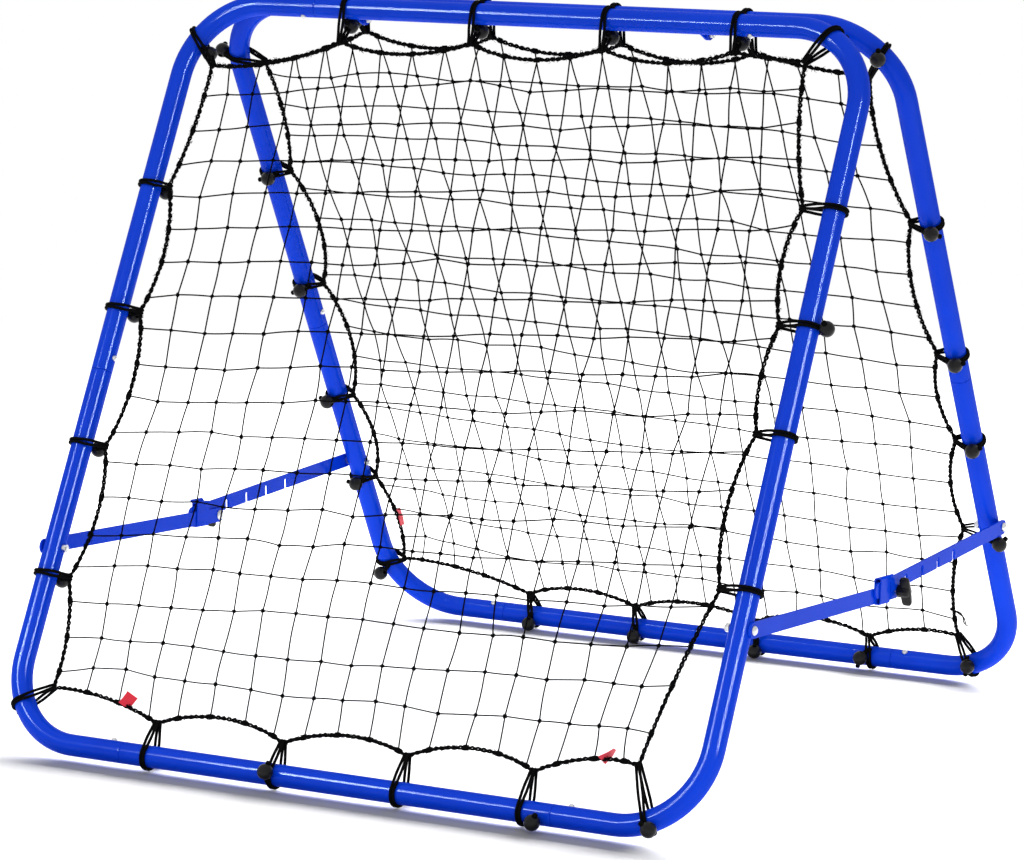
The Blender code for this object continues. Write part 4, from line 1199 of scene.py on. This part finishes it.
def wide_sun(name, azimuth, elevation, angle, strength, floor):
    """Even soft light, not mirrored in the coat; azimuth 0 is the object's front, 90 its right."""
    az, el = math.radians(azimuth), math.radians(elevation)
    way = Vector((math.sin(az) * math.cos(el), -math.cos(az) * math.cos(el), math.sin(el)))
    obj = lamp(name, "SUN", [floor], "EXCLUDE", angle=math.radians(angle), energy=strength)
    obj.matrix_world = way.to_track_quat("Z", "Y").to_matrix().to_4x4()
    obj.visible_glossy = False


def floor_band(floor):
    """Long low panel far behind, which lights the floor and sets the shadows at the feet."""
    obj = panel("floor_band", [floor], BAND_WIDE, BAND_HIGH, BAND_RADIANCE)
    at = Vector((0, BAND_AWAY, BAND_Z))
    obj.matrix_world = Matrix.Translation(at) @ at.to_track_quat("Z", "Y").to_matrix().to_4x4()
    obj.visible_glossy = False


def card(name, tubes, point, along, toward, share, length):
    """Bright strip set where a tube mirrors it as a line at the given share of its width."""
    p, run = Vector(point), Vector(along).normalized()
    v = (Vector(CAM_AT) - p).normalized()
    face = (v - run * v.dot(run)).normalized()
    across = run.cross(face)
    if across.dot(Vector(toward)) < 0:
        across = -across
    s = (share - 0.5) * 2
    n = face * math.sqrt(1 - s * s) + across * s
    way = n * (2 * n.dot(v)) - v
    lit = [obj for obj in bpy.context.scene.objects
           if obj.name.startswith(tubes) and obj.name.endswith("_tube")]
    obj = panel(name, lit, length, CARD_THICK, CARD_RADIANCE, color=CARD_COLOUR)
    x = (run - way * run.dot(way)).normalized()
    obj.matrix_world = axes_at(x, way.cross(x), way, p + way * CARD_AWAY)
    obj.visible_diffuse = False


def lamps(floor):
    wide_sun("back_fill", 180, 30, 80, 0.9, floor)
    wide_sun("overhead", 20, 80, 90, 1.2, floor)
    wide_sun("front_fill", 10, 30, 80, 1.25, floor)
    floor_band(floor)
    leg = Vector((0, -math.sin(TILT), -math.cos(TILT)))
    right = (math.cos(math.radians(CAM_AZ)), math.sin(math.radians(CAM_AZ)), 0)
    near = SHIFT_Y - BAR_SPREAD / 2
    foot = BAR_SPREAD / 2 + LEG * math.sin(TILT)
    for name, tubes, point, share, length in (
            ("card_top", "front_top", (0.06, near, TOP_Z), 0.46, 1.55),
            ("card_front_foot", "front_bottom", (0.19, SHIFT_Y - foot, TUBE_R), 0.41, 1.03),
            ("card_rear_foot", "rear_bottom", (0.0, SHIFT_Y + foot, TUBE_R), 0.29, 1.5)):
        card(name, tubes, point, (1, 0, 0), (0, 0, -1), share, length)
    for name, sx, down, share, length in (("card_left_leg", -1, 0.58, 0.62, 1.5),
                                          ("card_left_low", -1, 0.80, 0.25, 0.75),
                                          ("card_right_leg", 1, 0.68, 0.67, 1.25)):
        at = Vector((sx * HALF_WIDTH, near, TOP_Z)) + leg * down
        card(name, "front_", at, leg, right, share, length)


def camera():
    data = bpy.data.cameras.new("photo_camera")
    data.sensor_width = SENSOR
    data.lens = CAM_F_PX / PHOTO_W * SENSOR
    data.clip_start, data.clip_end = 0.1, 60.0
    obj = place("photo_camera", data)
    right, up, ahead = camera_axes()
    obj.matrix_world = axes_at(right, up, -ahead, CAM_AT)
    bpy.context.scene.camera = obj


def main():
    bpy.context.scene.view_settings.view_transform = "Standard"
    camera()
    world()
    floor = stage()
    for which in FACING:
        build_frame(which)
        net_piece(which)
        border_rope(which)
        ties(which)
    lamps(floor)
    for i, row in enumerate(TAGS):
        tag(i + 1, *row)
    hinge_bolts()
    for side, sx in SIDES.items():
        stay_parts(side, sx)


main()
